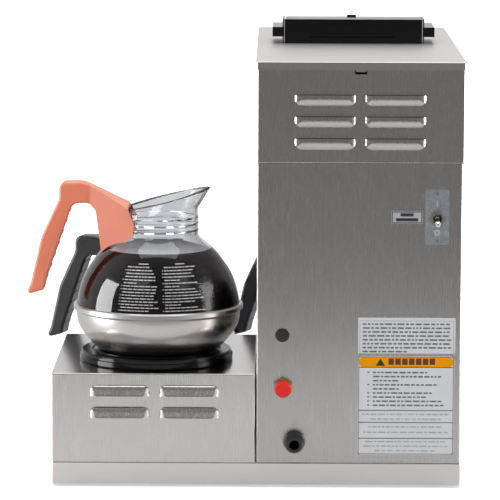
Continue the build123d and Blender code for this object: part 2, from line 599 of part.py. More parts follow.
WAIST_SLOPE = (SPOUT_FRONT_H - SPOUT_BACK_H) / (2 * NECK_R)
RIM_SLOPE = (LIP_FRONT_H - LIP_BACK_H) / (LIP_FRONT + NECK_R)
WAIST = Plane(origin=(0, 0, (SPOUT_FRONT_H + SPOUT_BACK_H) / 2),
              x_dir=(-1, 0, WAIST_SLOPE), z_dir=(WAIST_SLOPE, 0, 1))
RIM = Plane(origin=((NECK_R - LIP_FRONT) / 2, 0, (LIP_FRONT_H + LIP_BACK_H) / 2),
            x_dir=(-1, 0, RIM_SLOPE), z_dir=(RIM_SLOPE, 0, 1))


def bowl_solid(grow, top):
    """Everything inside the bowl's surface, grown by grow, cut off at height top."""
    skirt_r = PAN_R - BOWL_GAP + grow
    curve = [(r + grow, h + grow * 0.6) for r, h in BOWL_CURVE]
    with BuildPart() as shape:
        with BuildSketch(Plane.XZ):
            with BuildLine():
                Line((0, PAN_LEDGE_H), (skirt_r, PAN_LEDGE_H))
                Line((skirt_r, PAN_LEDGE_H), (skirt_r, PAN_RIM_H))
                Spline((skirt_r, PAN_RIM_H), *curve, (NECK_R + grow, NECK_H),
                       tangents=((0, 1), (-0.12, 1)))
                Line((NECK_R + grow, NECK_H), (NECK_R + grow, top))
                Line((NECK_R + grow, top), (0, top))
                Line((0, top), (0, PAN_LEDGE_H))
            make_face()
        revolve(axis=Axis.Z)
    return shape.part


def jug_solid(grow, ridges=False):
    """The whole bowl as one closed solid: body, neck cut on a slant, and flared lip."""
    waist_half = (NECK_R + grow) * (1 + WAIST_SLOPE ** 2) ** 0.5
    rim_half = (LIP_FRONT + NECK_R) / 2 * (1 + RIM_SLOPE ** 2) ** 0.5
    with BuildPart() as shape:
        add(bowl_solid(grow, SPOUT_FRONT_H + 4.0))
        if ridges:
            for height in COLLAR_H:
                rod_z(0, 0, NECK_R + RIDGE_PROUD, height - RIDGE_PROUD, height + RIDGE_PROUD)
        with BuildSketch(WAIST):
            Rectangle(4 * PAN_R, 4 * PAN_R)
        extrude(amount=LIP_FRONT_H, mode=Mode.SUBTRACT)
        with BuildSketch(WAIST):
            Ellipse(waist_half, NECK_R + grow)
        with BuildSketch(RIM):
            Ellipse(rim_half + grow, LIP_HALF_WIDTH + grow)
        loft()
    return shape.part


decanter_bowl = jug_solid(0.0, ridges=True) - jug_solid(-BOWL_WALL)

with BuildPart() as decanter_handle:
    with BuildSketch(Plane.XZ) as outline:
        with BuildLine():
            Polyline(*[corner for corner, _ in HANDLE_CORNERS], close=True)
        make_face()
        for (x, z), radius in HANDLE_CORNERS:
            fillet(outline.vertices().sort_by_distance((x, z, 0))[0], radius)
    extrude(amount=HANDLE_HALF_T, both=True)
    fillet(decanter_handle.faces().filter_by(Axis.Y).edges(), HANDLE_EDGE)
    # finger ribs on the inner side of the grip
    for i in range(RIB_COUNT):
        at = RIB_TOP + (RIB_END - RIB_TOP) * (i / (RIB_COUNT - 1))
        with Locations(Location((at.X, 0, at.Z), (90, 0, 0))):
            Cylinder(RIB_R, 2 * (HANDLE_HALF_T - HANDLE_EDGE))

with BuildPart() as handle_cheek:
    with BuildSketch(Plane.XZ):
        with BuildLine():
            Polyline(*CHEEK_CORNERS, close=True)
        make_face()
    extrude(amount=NECK_R, both=True)
    with BuildSketch(Plane.XY):
        with BuildLine():
            Polyline(*CHEEK_PLAN, close=True)
        make_face()
    extrude(amount=LIP_FRONT_H * 2, mode=Mode.INTERSECT)

handle_solid = (decanter_handle.part + handle_cheek.part) - jug_solid(RIDGE_PROUD + 0.05)

decanter_spots = {
    "rear": (REAR_WARMER[0] - DECANTER_SHIFT, REAR_WARMER[1], SIDE_TOP_Z, REAR_HANDLE_TURN),
    "left": (*LEFT_WARMER, FRONT_DECK_Z, LEFT_HANDLE_TURN),
    "brew": (*BREW_WARMER, FRONT_DECK_Z, BREW_HANDLE_TURN),
}
for where, (x, y, z, turn) in decanter_spots.items():
    place = Location((x, y, z + WARMER_PLATE_TOP), (0, 0, -turn))
    keep(f"{where}_decanter_pan", decanter_pan.part.moved(place))
    keep(f"{where}_decanter_bowl", decanter_bowl.moved(place))
    keep(f"{where}_decanter_handle", handle_solid.moved(place))

# ---- brew funnel on its rails -----------------------------------------------
with BuildPart() as funnel_rails:
    for x, inward in ((rail_x[0], 1), (rail_x[1], -1)):
        block(x, x - inward * 2.0, *rail_y, rail_z, rail_top_z)
        block(x - inward * 2.0, x + inward * 8.0, *rail_y, rail_z, rail_z + 2.0)
        block(x - inward * 6.0, x, *rail_y, rail_top_z - 1.5, rail_top_z)
keep("funnel_rails", funnel_rails.part)

flange_z = rail_z + 2.0 + RAIL_GAP
funnel_bottom = flange_z - FUNNEL_DEEP
outlet_z = funnel_bottom - FUNNEL_CONE
funnel_profile = [
    (FUNNEL_OUTLET_R, outlet_z),
    (FUNNEL_OUTLET_R + FUNNEL_WALL, outlet_z),
    (FUNNEL_OUTLET_R + FUNNEL_WALL, outlet_z + 6.0),
    (FUNNEL_R - 14.0, funnel_bottom),
    (FUNNEL_R, flange_z),
    (FUNNEL_FLANGE_R, flange_z),
    (FUNNEL_FLANGE_R, flange_z + FUNNEL_FLANGE_T),
    (FUNNEL_R - FUNNEL_WALL, flange_z + FUNNEL_FLANGE_T),
    (FUNNEL_R - 14.0 - FUNNEL_WALL, funnel_bottom + FUNNEL_WALL),
    (FUNNEL_OUTLET_R, outlet_z + 6.0 + FUNNEL_WALL),
]
keep("brew_funnel", turned(funnel_profile).moved(Location((*BREW_WARMER, 0))))

grip_y0 = BREW_WARMER[1] - FUNNEL_FLANGE_R + 4.0
grip_y1 = -BASE_DEPTH - HANDLE_REACH
with BuildPart() as funnel_handle:
    with BuildSketch(Plane.XZ.offset(-grip_y0 - 6.0)):
        with Locations((BREW_WARMER[0], flange_z - 12.0)):
            RectangleRounded(44.0, 22.0, 5.0)
    with BuildSketch(Plane.XZ.offset(-grip_y1)):
        with Locations((BREW_WARMER[0], flange_z - 14.0)):
            RectangleRounded(30.0, 18.0, 6.0)
    loft()
    fillet(funnel_handle.faces().sort_by(Axis.Y)[0].edges(), 4.0)
    # saddle against the funnel's wall
    block(BREW_WARMER[0] - 20.0, BREW_WARMER[0] + 20.0, grip_y0 - 8.0, grip_y0 + 12.0,
          flange_z - 23.0, flange_z)
    add(turned([(0, flange_z - 60.0), (FUNNEL_R - 14.0, flange_z - FUNNEL_DEEP),
                (FUNNEL_R, flange_z), (0, flange_z)]).moved(Location((*BREW_WARMER, 0))),
        mode=Mode.SUBTRACT)
keep("funnel_handle", funnel_handle.part)

# ---- water tank -------------------------------------------------------------
with BuildPart() as tank:
    with BuildSketch(Plane.XY.offset(TANK_Z0)):
        with Locations((TANK_X, TANK_Y)):
            RectangleRounded(TANK_W, TANK_D, TANK_CORNER)
    extrude(amount=TANK_Z1 - TANK_Z0)
    fillet(tank.edges().group_by(Axis.Z)[0], 2 * TANK_WALL)
    with BuildSketch(Plane.XY.offset(TANK_Z0 + TANK_WALL)):
        with Locations((TANK_X, TANK_Y)):
            RectangleRounded(TANK_W - 2 * TANK_WALL, TANK_D - 2 * TANK_WALL,
                             TANK_CORNER - TANK_WALL)
    extrude(amount=TANK_Z1 - TANK_Z0, mode=Mode.SUBTRACT)
    with BuildSketch(Plane.XY.offset(TANK_Z1 - TANK_WALL)):
        with Locations((TANK_X, TANK_Y)):
            RectangleRounded(TANK_W + 2 * TANK_RIM, TANK_D + 2 * TANK_RIM,
                             TANK_CORNER + TANK_RIM)
            RectangleRounded(TANK_W - 2 * TANK_WALL, TANK_D - 2 * TANK_WALL,
                             TANK_CORNER - TANK_WALL, mode=Mode.SUBTRACT)
    extrude(amount=TANK_WALL)
    # legs that stand on the rim of the base tray's wiring hole
    for sx in (-1, 1):
        leg_x = TANK_X + sx * 78.0
        block(leg_x - sx * 30.0, leg_x + sx * 4.0, TANK_Y - 50.0, TANK_Y + 50.0,
              TANK_Z0 + 8.0, TANK_Z0 + 9.5)
        block(leg_x + sx * 2.5, leg_x + sx * 4.0, TANK_Y - 50.0, TANK_Y + 50.0,
              DECK_Z, TANK_Z0 + 9.5)
    block(TANK_X - TANK_W / 2 + TANK_WALL, TANK_X + TANK_W / 2 - TANK_WALL,
          TANK_Y - 52.0, TANK_Y + 52.0, TANK_Z0 + 7.0, TANK_Z0 + 11.0, Mode.SUBTRACT)
keep("tank", tank.part)

lid_z = TANK_Z1 + GASKET_T
spray_port = (TANK_X - 10.0, TANK_Y - 30.0)
fill_port = (TANK_X + 35.0, TANK_Y + 30.0)
pour_port = (TANK_X + 20.0, TANK_Y - 45.0)
heater_ports = [(TANK_X - 25.0, TANK_Y + 10.0), (TANK_X + 15.0, TANK_Y + 10.0)]
bulb_port = (TANK_X - 35.0, TANK_Y + 45.0)


def tank_cover(z0, thickness, width_step):
    """Flat cover the shape of the tank's rim, with every port through it."""
    with BuildPart() as shape:
        with BuildSketch(Plane.XY.offset(z0)):
            with Locations((TANK_X, TANK_Y)):
                RectangleRounded(TANK_W + 2 * TANK_RIM, TANK_D + 2 * TANK_RIM,
                                 TANK_CORNER + TANK_RIM)
                if width_step:
                    RectangleRounded(TANK_W - 2 * width_step, TANK_D - 2 * width_step,
                                     TANK_CORNER - width_step, mode=Mode.SUBTRACT)
        extrude(amount=thickness)
        if not width_step:
            for port in (spray_port, fill_port, pour_port):
                rod_z(*port, TUBE_R + 0.1, z0, z0 + thickness, Mode.SUBTRACT)
            for port in heater_ports:
                rod_z(*port, 4.1, z0, z0 + thickness, Mode.SUBTRACT)
            rod_z(*bulb_port, 3.1, z0, z0 + thickness, Mode.SUBTRACT)
    return shape.part


keep("tank_gasket", tank_cover(TANK_Z1, GASKET_T, TANK_WALL))
keep("tank_lid", tank_cover(lid_z, SHEET, 0.0))
lid_top = lid_z + SHEET

heater_path = [(*heater_ports[0], lid_top + 14.0), (*heater_ports[0], TANK_Z0 + 25.0),
               (*heater_ports[1], TANK_Z0 + 25.0), (*heater_ports[1], lid_top + 14.0)]
with BuildPart() as tank_heater:
    add(pipe(heater_path, 4.0, 15.0))
    for port in heater_ports:
        rod_z(*port, 8.0, lid_top, lid_top + 5.0)
keep("tank_heater", tank_heater.part)

with BuildPart() as thermostat:
    block(bulb_port[0] - 17.0, bulb_port[0] + 17.0, bulb_port[1] - 13.0, bulb_port[1] + 13.0,
          lid_top, lid_top + 25.0)
    fillet(thermostat.edges().filter_by(Axis.Z), 2.0)
    rod_z(*bulb_port, 3.0, TANK_Z0 + 120.0, lid_top + 3.0)
keep("thermostat", thermostat.part)

spray_z = floor_z - SPRAY_T
spray_path = [(*spray_port, lid_top - 8.0), (*spray_port, lid_top + 48.0),
              (BREW_WARMER[0], BREW_WARMER[1] + 70.0, lid_top + 48.0),
              (*BREW_WARMER, lid_top + 48.0), (*BREW_WARMER, floor_z + 0.4)]
keep("spray_tube", pipe(spray_path, TUBE_R, 12.0, TUBE_WALL))

with BuildPart() as sprayhead:
    rod_z(*BREW_WARMER, SPRAY_R, spray_z, spray_z + 2.5)
    rod_z(*BREW_WARMER, SPRAY_R * 0.55, spray_z, floor_z)
    rod_z(*BREW_WARMER, 8.6, spray_z, floor_z + SHEET + 6.0)
    rod_z(*BREW_WARMER, TUBE_R + 0.1, floor_z + 0.2, floor_z + SHEET + 6.0, Mode.SUBTRACT)
    rod_z(*BREW_WARMER, TUBE_R - TUBE_WALL, spray_z + 2.0, floor_z + 6.0, Mode.SUBTRACT)
    with Locations((*BREW_WARMER, spray_z + 1.0)):
        with PolarLocations(SPRAY_R * 0.78, 12):
            Cylinder(1.6, 6.0, mode=Mode.SUBTRACT)
        with PolarLocations(SPRAY_R * 0.3, 6):
            Cylinder(1.2, 6.0, mode=Mode.SUBTRACT)
keep("sprayhead", sprayhead.part)

# ---- pour-in hatch and its basin --------------------------------------------
hatch_top = LID_TOP_Z + HATCH_HEIGHT


def hatch_outline(inset, drop):
    """Side outline (y, z) of the hatch housing, moved in by inset and down by drop."""
    return [(HATCH_Y_REAR - inset, LID_TOP_Z), (HATCH_Y_REAR - inset, hatch_top - drop),
            (HATCH_Y_TOP + inset * 0.3, hatch_top - drop),
            (HATCH_Y_FRONT + inset, LID_TOP_Z + HATCH_FRONT_H - drop),
            (HATCH_Y_FRONT + inset, LID_TOP_Z)]


def hatch_prism(inset, drop, x0, x1):
    """Prism of the side outline between two x positions."""
    with BuildPart() as shape:
        with BuildSketch(Plane.YZ.offset(x0)):
            with BuildLine():
                Polyline(*hatch_outline(inset, drop), close=True)
            make_face()
        extrude(amount=x1 - x0)
    return shape.part


lid_x = (HATCH_X0 + HATCH_WALL + HATCH_GAP, HATCH_X1 - HATCH_WALL - HATCH_GAP)
lid_y_rear = HATCH_Y_REAR - 2 * HATCH_WALL - HATCH_HINGE_GAP
hinge_y = lid_y_rear - 3.0
hinge_z = hatch_top - 2.2

with BuildPart() as hatch_frame:
    add(hatch_prism(0.0, 0.0, HATCH_X0, HATCH_X1))
    rear_corners = hatch_frame.edges().filter_by(Axis.Z).group_by(Axis.Y)[-1]
    fillet(rear_corners, 5.0)
    # open through
    block(HATCH_X0 + HATCH_WALL, HATCH_X1 - HATCH_WALL, HATCH_Y_FRONT + HATCH_WALL,
          HATCH_Y_REAR - 2 * HATCH_WALL, LID_TOP_Z, hatch_top, Mode.SUBTRACT)
    # long recess in the rear face with a sloping sill
    with BuildSketch(Plane.YZ.offset(RECESS_X[0])):
        with BuildLine():
            Polyline((HATCH_Y_REAR, LID_TOP_Z + RECESS_Z[0] - RECESS_DEPTH / 2),
                     (HATCH_Y_REAR, LID_TOP_Z + RECESS_Z[1]),
                     (HATCH_Y_REAR - RECESS_DEPTH, LID_TOP_Z + RECESS_Z[1]),
                     (HATCH_Y_REAR - RECESS_DEPTH, LID_TOP_Z + RECESS_Z[0]), close=True)
        make_face()
    extrude(amount=RECESS_X[1] - RECESS_X[0], mode=Mode.SUBTRACT)
    for x0, x1 in ((HATCH_X0 - EAR_WIDTH, HATCH_X0 + 1.0), (HATCH_X1 - 1.0, HATCH_X1 + EAR_WIDTH)):
        block(x0, x1, HATCH_Y_FRONT, HATCH_Y_REAR - 1.0, LID_TOP_Z + EAR_Z0, LID_TOP_Z + EAR_Z1)
    # hinge holes in both side walls
    rod_x(hinge_y, hinge_z, PIVOT_R + PIVOT_FIT, HATCH_X0 + 1.0, HATCH_X1 - 1.0, Mode.SUBTRACT)
keep("hatch_frame", hatch_frame.part)

with BuildPart() as hatch_lid:
    add(hatch_prism(HATCH_WALL + HATCH_GAP, 0.0, *lid_x))
    block(*lid_x, HATCH_Y_REAR, lid_y_rear, LID_TOP_Z, hatch_top, Mode.SUBTRACT)
    add(hatch_prism(HATCH_WALL + HATCH_GAP - 2.0, HATCH_LID_T, HATCH_X0, HATCH_X1),
        mode=Mode.SUBTRACT)
    # finger tab
    block(*TAB_X, HATCH_Y_TOP - 4.0, HATCH_Y_TOP + 2.0, hatch_top - 4.0, hatch_top + TAB_PROUD)
    for x0, x1 in ((HATCH_X0 + 1.6, lid_x[0] + 4.0), (lid_x[1] - 4.0, HATCH_X1 - 1.6)):
        rod_x(hinge_y, hinge_z, PIVOT_R, x0, x1)
keep("hatch_lid", hatch_lid.part)

basin_depth = 34.0
basin_z = LID_UNDER_Z - basin_depth
basin_wall = 2.0
with BuildPart() as basin:
    block(basin_x[0] + 0.5, basin_x[1] - 0.5, basin_y[0] + 0.5, basin_y[1] - 0.5,
          basin_z, LID_TOP_Z)
    block(basin_x[0] + 0.5 + basin_wall, basin_x[1] - 0.5 - basin_wall,
          basin_y[0] + 0.5 + basin_wall, basin_y[1] - 0.5 - basin_wall,
          basin_z + basin_wall, LID_TOP_Z, Mode.SUBTRACT)
    block(basin_x[0] - 4.0, basin_x[1] + 4.0, basin_y[0] - 4.0, basin_y[1] + 4.0,
          LID_UNDER_Z - 1.5, LID_UNDER_Z)
    block(basin_x[0] + 0.5 + basin_wall, basin_x[1] - 0.5 - basin_wall,
          basin_y[0] + 0.5 + basin_wall, basin_y[1] - 0.5 - basin_wall,
          basin_z + basin_wall, LID_TOP_Z, Mode.SUBTRACT)
    drain_x = TANK_X + 20.0
    drain_y = basin_y[1] - 14.0
    drain_path = [(drain_x, drain_y, basin_z + 1.0), (drain_x, drain_y, basin_z - 20.0),
                  (*pour_port, basin_z - 32.0), (*pour_port, lid_top - 8.0)]
    add(pipe(drain_path, TUBE_R, 8.0))
    add(pipe([(drain_x, drain_y, basin_z + basin_wall + 1.0)] + drain_path[1:3]
             + [(*pour_port, lid_top - 9.0)], TUBE_R - TUBE_WALL, 8.0), mode=Mode.SUBTRACT)
keep("basin", basin.part)

# ---- cold water inlet -------------------------------------------------------
with BuildPart() as inlet_fitting:
    with BuildSketch(Plane.XZ):
        with Locations(INLET):
            RegularPolygon(INLET_HEX_FLAT, 6, major_radius=False, rotation=30)
    extrude(amount=-INLET_HEX_T)
    rod_y(*INLET, INLET_STUB_R, INLET_STUB_Y, 0)
    rod_y(*INLET, INLET_THREAD_R, 0, INLET_THREAD_Y)
    rod_y(*INLET, INLET_BORE_R, INLET_STUB_Y, INLET_THREAD_Y, Mode.SUBTRACT)
    fillet(inlet_fitting.edges().filter_by(GeomType.CIRCLE).group_by(Axis.Y)[-1], 0.6)
keep("inlet_fitting", inlet_fitting.part)

cap_start = INLET_HEX_T + 0.4
with BuildPart() as inlet_cap:
    rod_y(*INLET, CAP_R, cap_start, CAP_END_Y)
    fillet(inlet_cap.edges().group_by(Axis.Y)[-1], 1.6)
    rod_y(*INLET, INLET_THREAD_R + CAP_GAP, cap_start, INLET_THREAD_Y + CAP_GAP, Mode.SUBTRACT)
keep("inlet_cap", inlet_cap.part)

valve_y0 = INLET_STUB_Y - VALVE_LONG
with BuildPart() as inlet_valve:
    block(INLET[0] - VALVE_HALF, INLET[0] + VALVE_HALF, valve_y0, INLET_STUB_Y,
          INLET[1] - VALVE_HALF, INLET[1] + VALVE_HALF)
    fillet(inlet_valve.edges().filter_by(Axis.Y), 3.0)
    coil_z = INLET[1] + VALVE_HALF + 4.0
    rod_z(INLET[0], VALVE_Y, SOLENOID_R / 2, INLET[1] + VALVE_HALF - 1.0, coil_z + 1.0)
    rod_z(INLET[0], VALVE_Y, SOLENOID_R, coil_z, coil_z + SOLENOID_H)
    rod_y(*INLET, VALVE_PORT_R, valve_y0 - 4.0, valve_y0)
    rod_y(*INLET, TUBE_R - TUBE_WALL, valve_y0 - 4.0, INLET_STUB_Y, Mode.SUBTRACT)
keep("inlet_valve", inlet_valve.part)

tube_z = lid_top + 30.0
inlet_path = [(INLET[0], -50.0, INLET[1]), (INLET[0], -64.0, INLET[1]), (INLET[0], -64.0, tube_z),
              (*fill_port, tube_z), (*fill_port, lid_top - 8.0)]
keep("inlet_tube", pipe(inlet_path, TUBE_R, 8.0, TUBE_WALL))

# ---- cord gland and hole plug -----------------------------------------------
gland_outline = [(GLAND_BORE_R, -10.0), (7.9, -10.0), (7.9, 0.0), (11.0, 0.0), (11.0, 2.5),
                 (10.0, 4.0), (10.0, 13.0), (8.6, 19.0), (7.4, 22.0), (GLAND_BORE_R, 22.0)]
gland_solid = turned(gland_outline).moved(Location((GLAND[0], 0, GLAND[1]), (-90, 0, 0)))
keep("cord_gland", gland_solid)

plug_outline = [(0, -5.0), (4.2, -5.0), (5.9, -2.6), (5.4, -SHEET), (5.4, 0.0), (7.1, 0.0),
                (6.7, 1.2), (4.5, 1.7), (0, 1.8)]
plug_solid = turned(plug_outline).moved(Location((PLUG[0], 0, PLUG[1]), (-90, 0, 0)))
keep("hole_plug", plug_solid)

# ---- rear switch ------------------------------------------------------------
plate_t = 1.0
pivot_y = 5.4
with BuildPart() as toggle_plate:
    block(TOGGLE[0] - 11.7, TOGGLE[0] + 11.8, 0.0, plate_t, TOGGLE[1] - 26.5, TOGGLE[1] + 28.5)
    fillet(toggle_plate.edges().filter_by(Axis.Y), 1.5)
    rod_y(*TOGGLE, 6.0, 0.0, plate_t, Mode.SUBTRACT)
    for dz in (-22.5, 24.5):
        rod_y(TOGGLE[0], TOGGLE[1] + dz, 1.8, 0.0, plate_t, Mode.SUBTRACT)
keep("toggle_plate", toggle_plate.part)

bushing_outline = [(0, -24.0), (4.0, -24.0), (4.0, -SHEET - 0.5), (5.9, -SHEET - 0.5),
                   (5.9, 8.4), (4.4, 8.4), (TOGGLE_BALL_R + TOGGLE_FIT, pivot_y),
                   (TOGGLE_BALL_R + TOGGLE_FIT, -4.0), (0, -4.0)]
with BuildPart() as toggle_body:
    block(TOGGLE[0] - 8.5, TOGGLE[0] + 8.5, -26.0, -SHEET, TOGGLE[1] - 14.5, TOGGLE[1] + 14.5)
    fillet(toggle_body.edges().filter_by(Axis.Y), 1.5)
    rod_y(*TOGGLE, 5.9, -SHEET, 8.4)
    rod_y(*TOGGLE, TOGGLE_BALL_R + TOGGLE_FIT, -8.0, 8.4, Mode.SUBTRACT)
    # mouth that lets the lever swing
    add(turned([(0, pivot_y - 1.0), (1.8, pivot_y - 1.0), (4.9, 8.5), (0, 8.5)])
        .moved(Location((TOGGLE[0], 0, TOGGLE[1]), (-90, 0, 0))), mode=Mode.SUBTRACT)
    for dz in (-10.0, 10.0):
        block(TOGGLE[0] - 3.0, TOGGLE[0] + 3.0, -33.0, -26.0,
              TOGGLE[1] + dz - 0.5, TOGGLE[1] + dz + 0.5)
keep("toggle_body", toggle_body.part)

with BuildPart() as toggle_nut:
    with BuildSketch(Plane.XZ.offset(-plate_t)):
        with Locations(TOGGLE):
            RegularPolygon(7.4, 6, major_radius=False)
            Circle(5.95, mode=Mode.SUBTRACT)
    extrude(amount=-2.4)
keep("toggle_nut", toggle_nut.part)

lever_axis = Location((TOGGLE[0], pivot_y - 3.0, TOGGLE[1]), (-90 - TOGGLE_TILT, 0, 0))
lever_outline = [(0, -4.6), (1.2, -4.6), (1.4, -2.2), (2.6, -1.86), (TOGGLE_BALL_R, 0),
                 (2.6, 1.86), (1.4, 2.9), (1.9, 10.0), (2.7, 13.2), (2.9, 15.2), (1.9, 17.3),
                 (0, 17.9)]
keep("toggle_lever", turned(lever_outline).moved(lever_axis))

# ---- labels -----------------------------------------------------------------



def label(x0, x1, z0, z1, corner):
    """Thin printed label stuck on the tower's rear wall."""
    with BuildPart() as shape:
        with BuildSketch(Plane.XZ):
            with Locations(((x0 + x1) / 2, (z0 + z1) / 2)):
                RectangleRounded(x1 - x0, z1 - z0, corner)
        extrude(amount=-LABEL_T)
    return shape.part


keep("heater_label", label(-164.1, -132.9, 266.8, 279.5, 0.8))
keep("notice_label", label(-197.7, -101.0, 136.3, 172.6, 1.0))
keep("caution_label", label(-196.9, -101.3, 34.0, 133.8, 4.0))

# ---- front controls ---------------------------------------------------------
bank_depth = 16.0
rocker_y = panel_y - 2.0     # outer face of the switch bank's bezel
pivot_depth = 5.0
rocker_pivot_y = rocker_y + pivot_depth

with BuildPart() as switch_bank:
    block(bank_x0, bank_x1, rocker_y, panel_y, CONTROL_Z - bank_half_h, CONTROL_Z + bank_half_h)
    fillet(switch_bank.edges().filter_by(Axis.Y), 3.0)
    block(bank_x0 + 2.3, bank_x1 - 2.3, panel_y, panel_y + bank_depth,
          CONTROL_Z - bank_half_h + 2.3, CONTROL_Z + bank_half_h - 2.3)
    for x in rocker_x:
        block(x - ROCKER_W / 2 - ROCKER_FIT, x + ROCKER_W / 2 + ROCKER_FIT,
              rocker_y, panel_y + bank_depth - 2.5,
              CONTROL_Z - ROCKER_H / 2 - ROCKER_FIT, CONTROL_Z + ROCKER_H / 2 + ROCKER_FIT,
              Mode.SUBTRACT)
        rod_x(rocker_pivot_y, CONTROL_Z, PIVOT_R + PIVOT_FIT, x - ROCKER_W / 2 - 2.5,
              x + ROCKER_W / 2 + 2.5, Mode.SUBTRACT)
    rod_y(start_x, CONTROL_Z, BUTTON_R + BUTTON_CLEARANCE, rocker_y,
          panel_y + bank_depth - 3.0, Mode.SUBTRACT)
keep("switch_bank", switch_bank.part)

with BuildPart() as rocker:
    reach = ROCKER_H / 2 - 0.6
    with BuildSketch(Plane.YZ.offset(-ROCKER_W / 2)):
        with BuildLine():
            Polyline((0, -3.0), (-pivot_depth - 0.5, -reach + 0.6), (-pivot_depth - 1.6, -reach),
                     (-pivot_depth - 0.2, 0), (-pivot_depth - 1.6, reach),
                     (-pivot_depth - 0.5, reach), (0, 6.0), (4.0, 2.0), (4.0, -2.0),
                     close=True)
        make_face()
    extrude(amount=ROCKER_W)
    rod_x(0, 0, PIVOT_R, -ROCKER_W / 2 - 2.0, ROCKER_W / 2 + 2.0)
for number, x in enumerate(rocker_x, start=1):
    place = Location((x, rocker_pivot_y, CONTROL_Z), (ROCKER_TILT, 0, 0))
    keep(f"warmer_rocker_{number}", rocker.part.moved(place))

with BuildPart() as start_button:
    rod_y(start_x, CONTROL_Z, BUTTON_R, rocker_y - BUTTON_PROUD, panel_y + 8.0)
    fillet(start_button.edges().group_by(Axis.Y)[0], 1.2)
keep("start_button", start_button.part)

lamp_outline = [(0, -9.0), (4.0, -9.0), (4.0, 0.0), (5.5, 0.0), (5.5, 1.4), (3.9, 3.2),
                (0, 4.2)]
lamp_solid = turned(lamp_outline).moved(Location((lamp_x, panel_y, CONTROL_Z), (90, 0, 0)))
keep("ready_lamp", lamp_solid)

# ---- timer board ------------------------------------------------------------
board_x = (HOOD_LEFT_X + 12.0, HOOD_LEFT_X + 82.0)
board_y = (-420.0, -330.0)
board_z = floor_z + SHEET + 8.0
with BuildPart() as timer_board:
    block(*board_x, *board_y, board_z, board_z + 1.6)
    for x in (board_x[0] + 5.0, board_x[1] - 5.0):
        for y in (board_y[0] + 5.0, board_y[1] - 5.0):
            rod_z(x, y, 2.5, floor_z + SHEET, board_z)
    block(board_x[0] + 12.0, board_x[0] + 34.0, board_y[0] + 12.0, board_y[0] + 40.0,
          board_z + 1.6, board_z + 18.0)
    block(board_x[0] + 42.0, board_x[0] + 58.0, board_y[0] + 14.0, board_y[0] + 30.0,
          board_z + 1.6, board_z + 16.0)
    block(board_x[0] + 10.0, board_x[1] - 10.0, board_y[1] - 20.0, board_y[1] - 10.0,
          board_z + 1.6, board_z + 12.0)
keep("timer_board", timer_board.part)

# ---- move the origin under the middle of the machine and write the files ----
boxes = [solid.bounding_box() for solid in pieces.values()]
mid_x = (min(b.min.X for b in boxes) + max(b.max.X for b in boxes)) / 2
mid_y = (min(b.min.Y for b in boxes) + max(b.max.Y for b in boxes)) / 2
low_z = min(b.min.Z for b in boxes)
shift = Location((-mid_x, -mid_y, -low_z))
for name, solid in pieces.items():
    placed = solid.moved(shift)
    placed.label = name
    export_step(placed, f"parts/{name}.step")
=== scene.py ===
import math
import random

import bpy
from mathutils import Matrix, Vector


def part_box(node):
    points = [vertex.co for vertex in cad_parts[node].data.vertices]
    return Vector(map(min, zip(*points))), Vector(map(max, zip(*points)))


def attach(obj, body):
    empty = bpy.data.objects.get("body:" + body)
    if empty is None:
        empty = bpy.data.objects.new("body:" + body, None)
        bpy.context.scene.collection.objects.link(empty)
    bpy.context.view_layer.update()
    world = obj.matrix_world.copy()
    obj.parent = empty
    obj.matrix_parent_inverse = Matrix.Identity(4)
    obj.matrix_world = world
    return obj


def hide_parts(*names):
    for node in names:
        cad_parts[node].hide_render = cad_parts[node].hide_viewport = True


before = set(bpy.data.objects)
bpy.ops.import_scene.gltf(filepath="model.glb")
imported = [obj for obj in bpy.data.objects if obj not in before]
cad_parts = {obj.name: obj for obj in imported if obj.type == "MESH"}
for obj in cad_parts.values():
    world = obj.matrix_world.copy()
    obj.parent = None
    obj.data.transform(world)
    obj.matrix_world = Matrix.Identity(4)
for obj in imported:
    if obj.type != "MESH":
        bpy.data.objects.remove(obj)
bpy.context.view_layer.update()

# Looks of the commercial coffee brewer. Lengths below are millimetres in the machine's own
# frame, unless a comment says metres: x from the seam between the warmer box and the tower,
# y from the rear faces of the case (outwards is +y), z from the counter. at() turns them
# into the row frame.

MM = 0.001
FOOT_SHOWS = 3.2
tray_low, tray_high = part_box("base_tray")
SEAM_X = (tray_low.x + tray_high.x) / 2
REAR_Y = tray_high.y
COUNTER_Z = tray_low.z - FOOT_SHOWS * MM
rng = random.Random(7)


def at(x, y, z):
    """Point of the machine's own frame, in mm, as a point of the row frame, in metres."""
    return Vector((SEAM_X + x * MM, REAR_Y + y * MM, COUNTER_Z + z * MM))


# ---- camera -----------------------------------------------------------------
CAMERA_SPOT = (-19.83, 3236.23, 700.5)
CAMERA_LENS = 237.6          # for a 36 mm sensor
CAMERA_PITCH = math.radians(8.1)
CAMERA_YAW = math.radians(-0.47)
CAMERA_ROLL = math.radians(0.19)


def make_camera():
    """Camera behind the machine, looking slightly down at its rear."""
    data = bpy.data.cameras.new("camera")
    data.lens = CAMERA_LENS
    data.sensor_width = 36.0
    data.clip_end = 50.0
    camera = bpy.data.objects.new("camera", data)
    bpy.context.scene.collection.objects.link(camera)
    level = math.cos(CAMERA_PITCH)
    ahead = Vector((-math.sin(CAMERA_YAW) * level, -math.cos(CAMERA_YAW) * level,
                    -math.sin(CAMERA_PITCH)))
    right = ahead.cross(Vector((0, 0, 1))).normalized()
    up = right.cross(ahead)
    turned_right = right * math.cos(CAMERA_ROLL) + up * math.sin(CAMERA_ROLL)
    turned_up = up * math.cos(CAMERA_ROLL) - right * math.sin(CAMERA_ROLL)
    axes = Matrix((turned_right, turned_up, -ahead)).transposed()
    camera.matrix_world = Matrix.Translation(at(*CAMERA_SPOT)) @ axes.to_4x4()
    bpy.context.scene.camera = camera


make_camera()

# ---- materials --------------------------------------------------------------


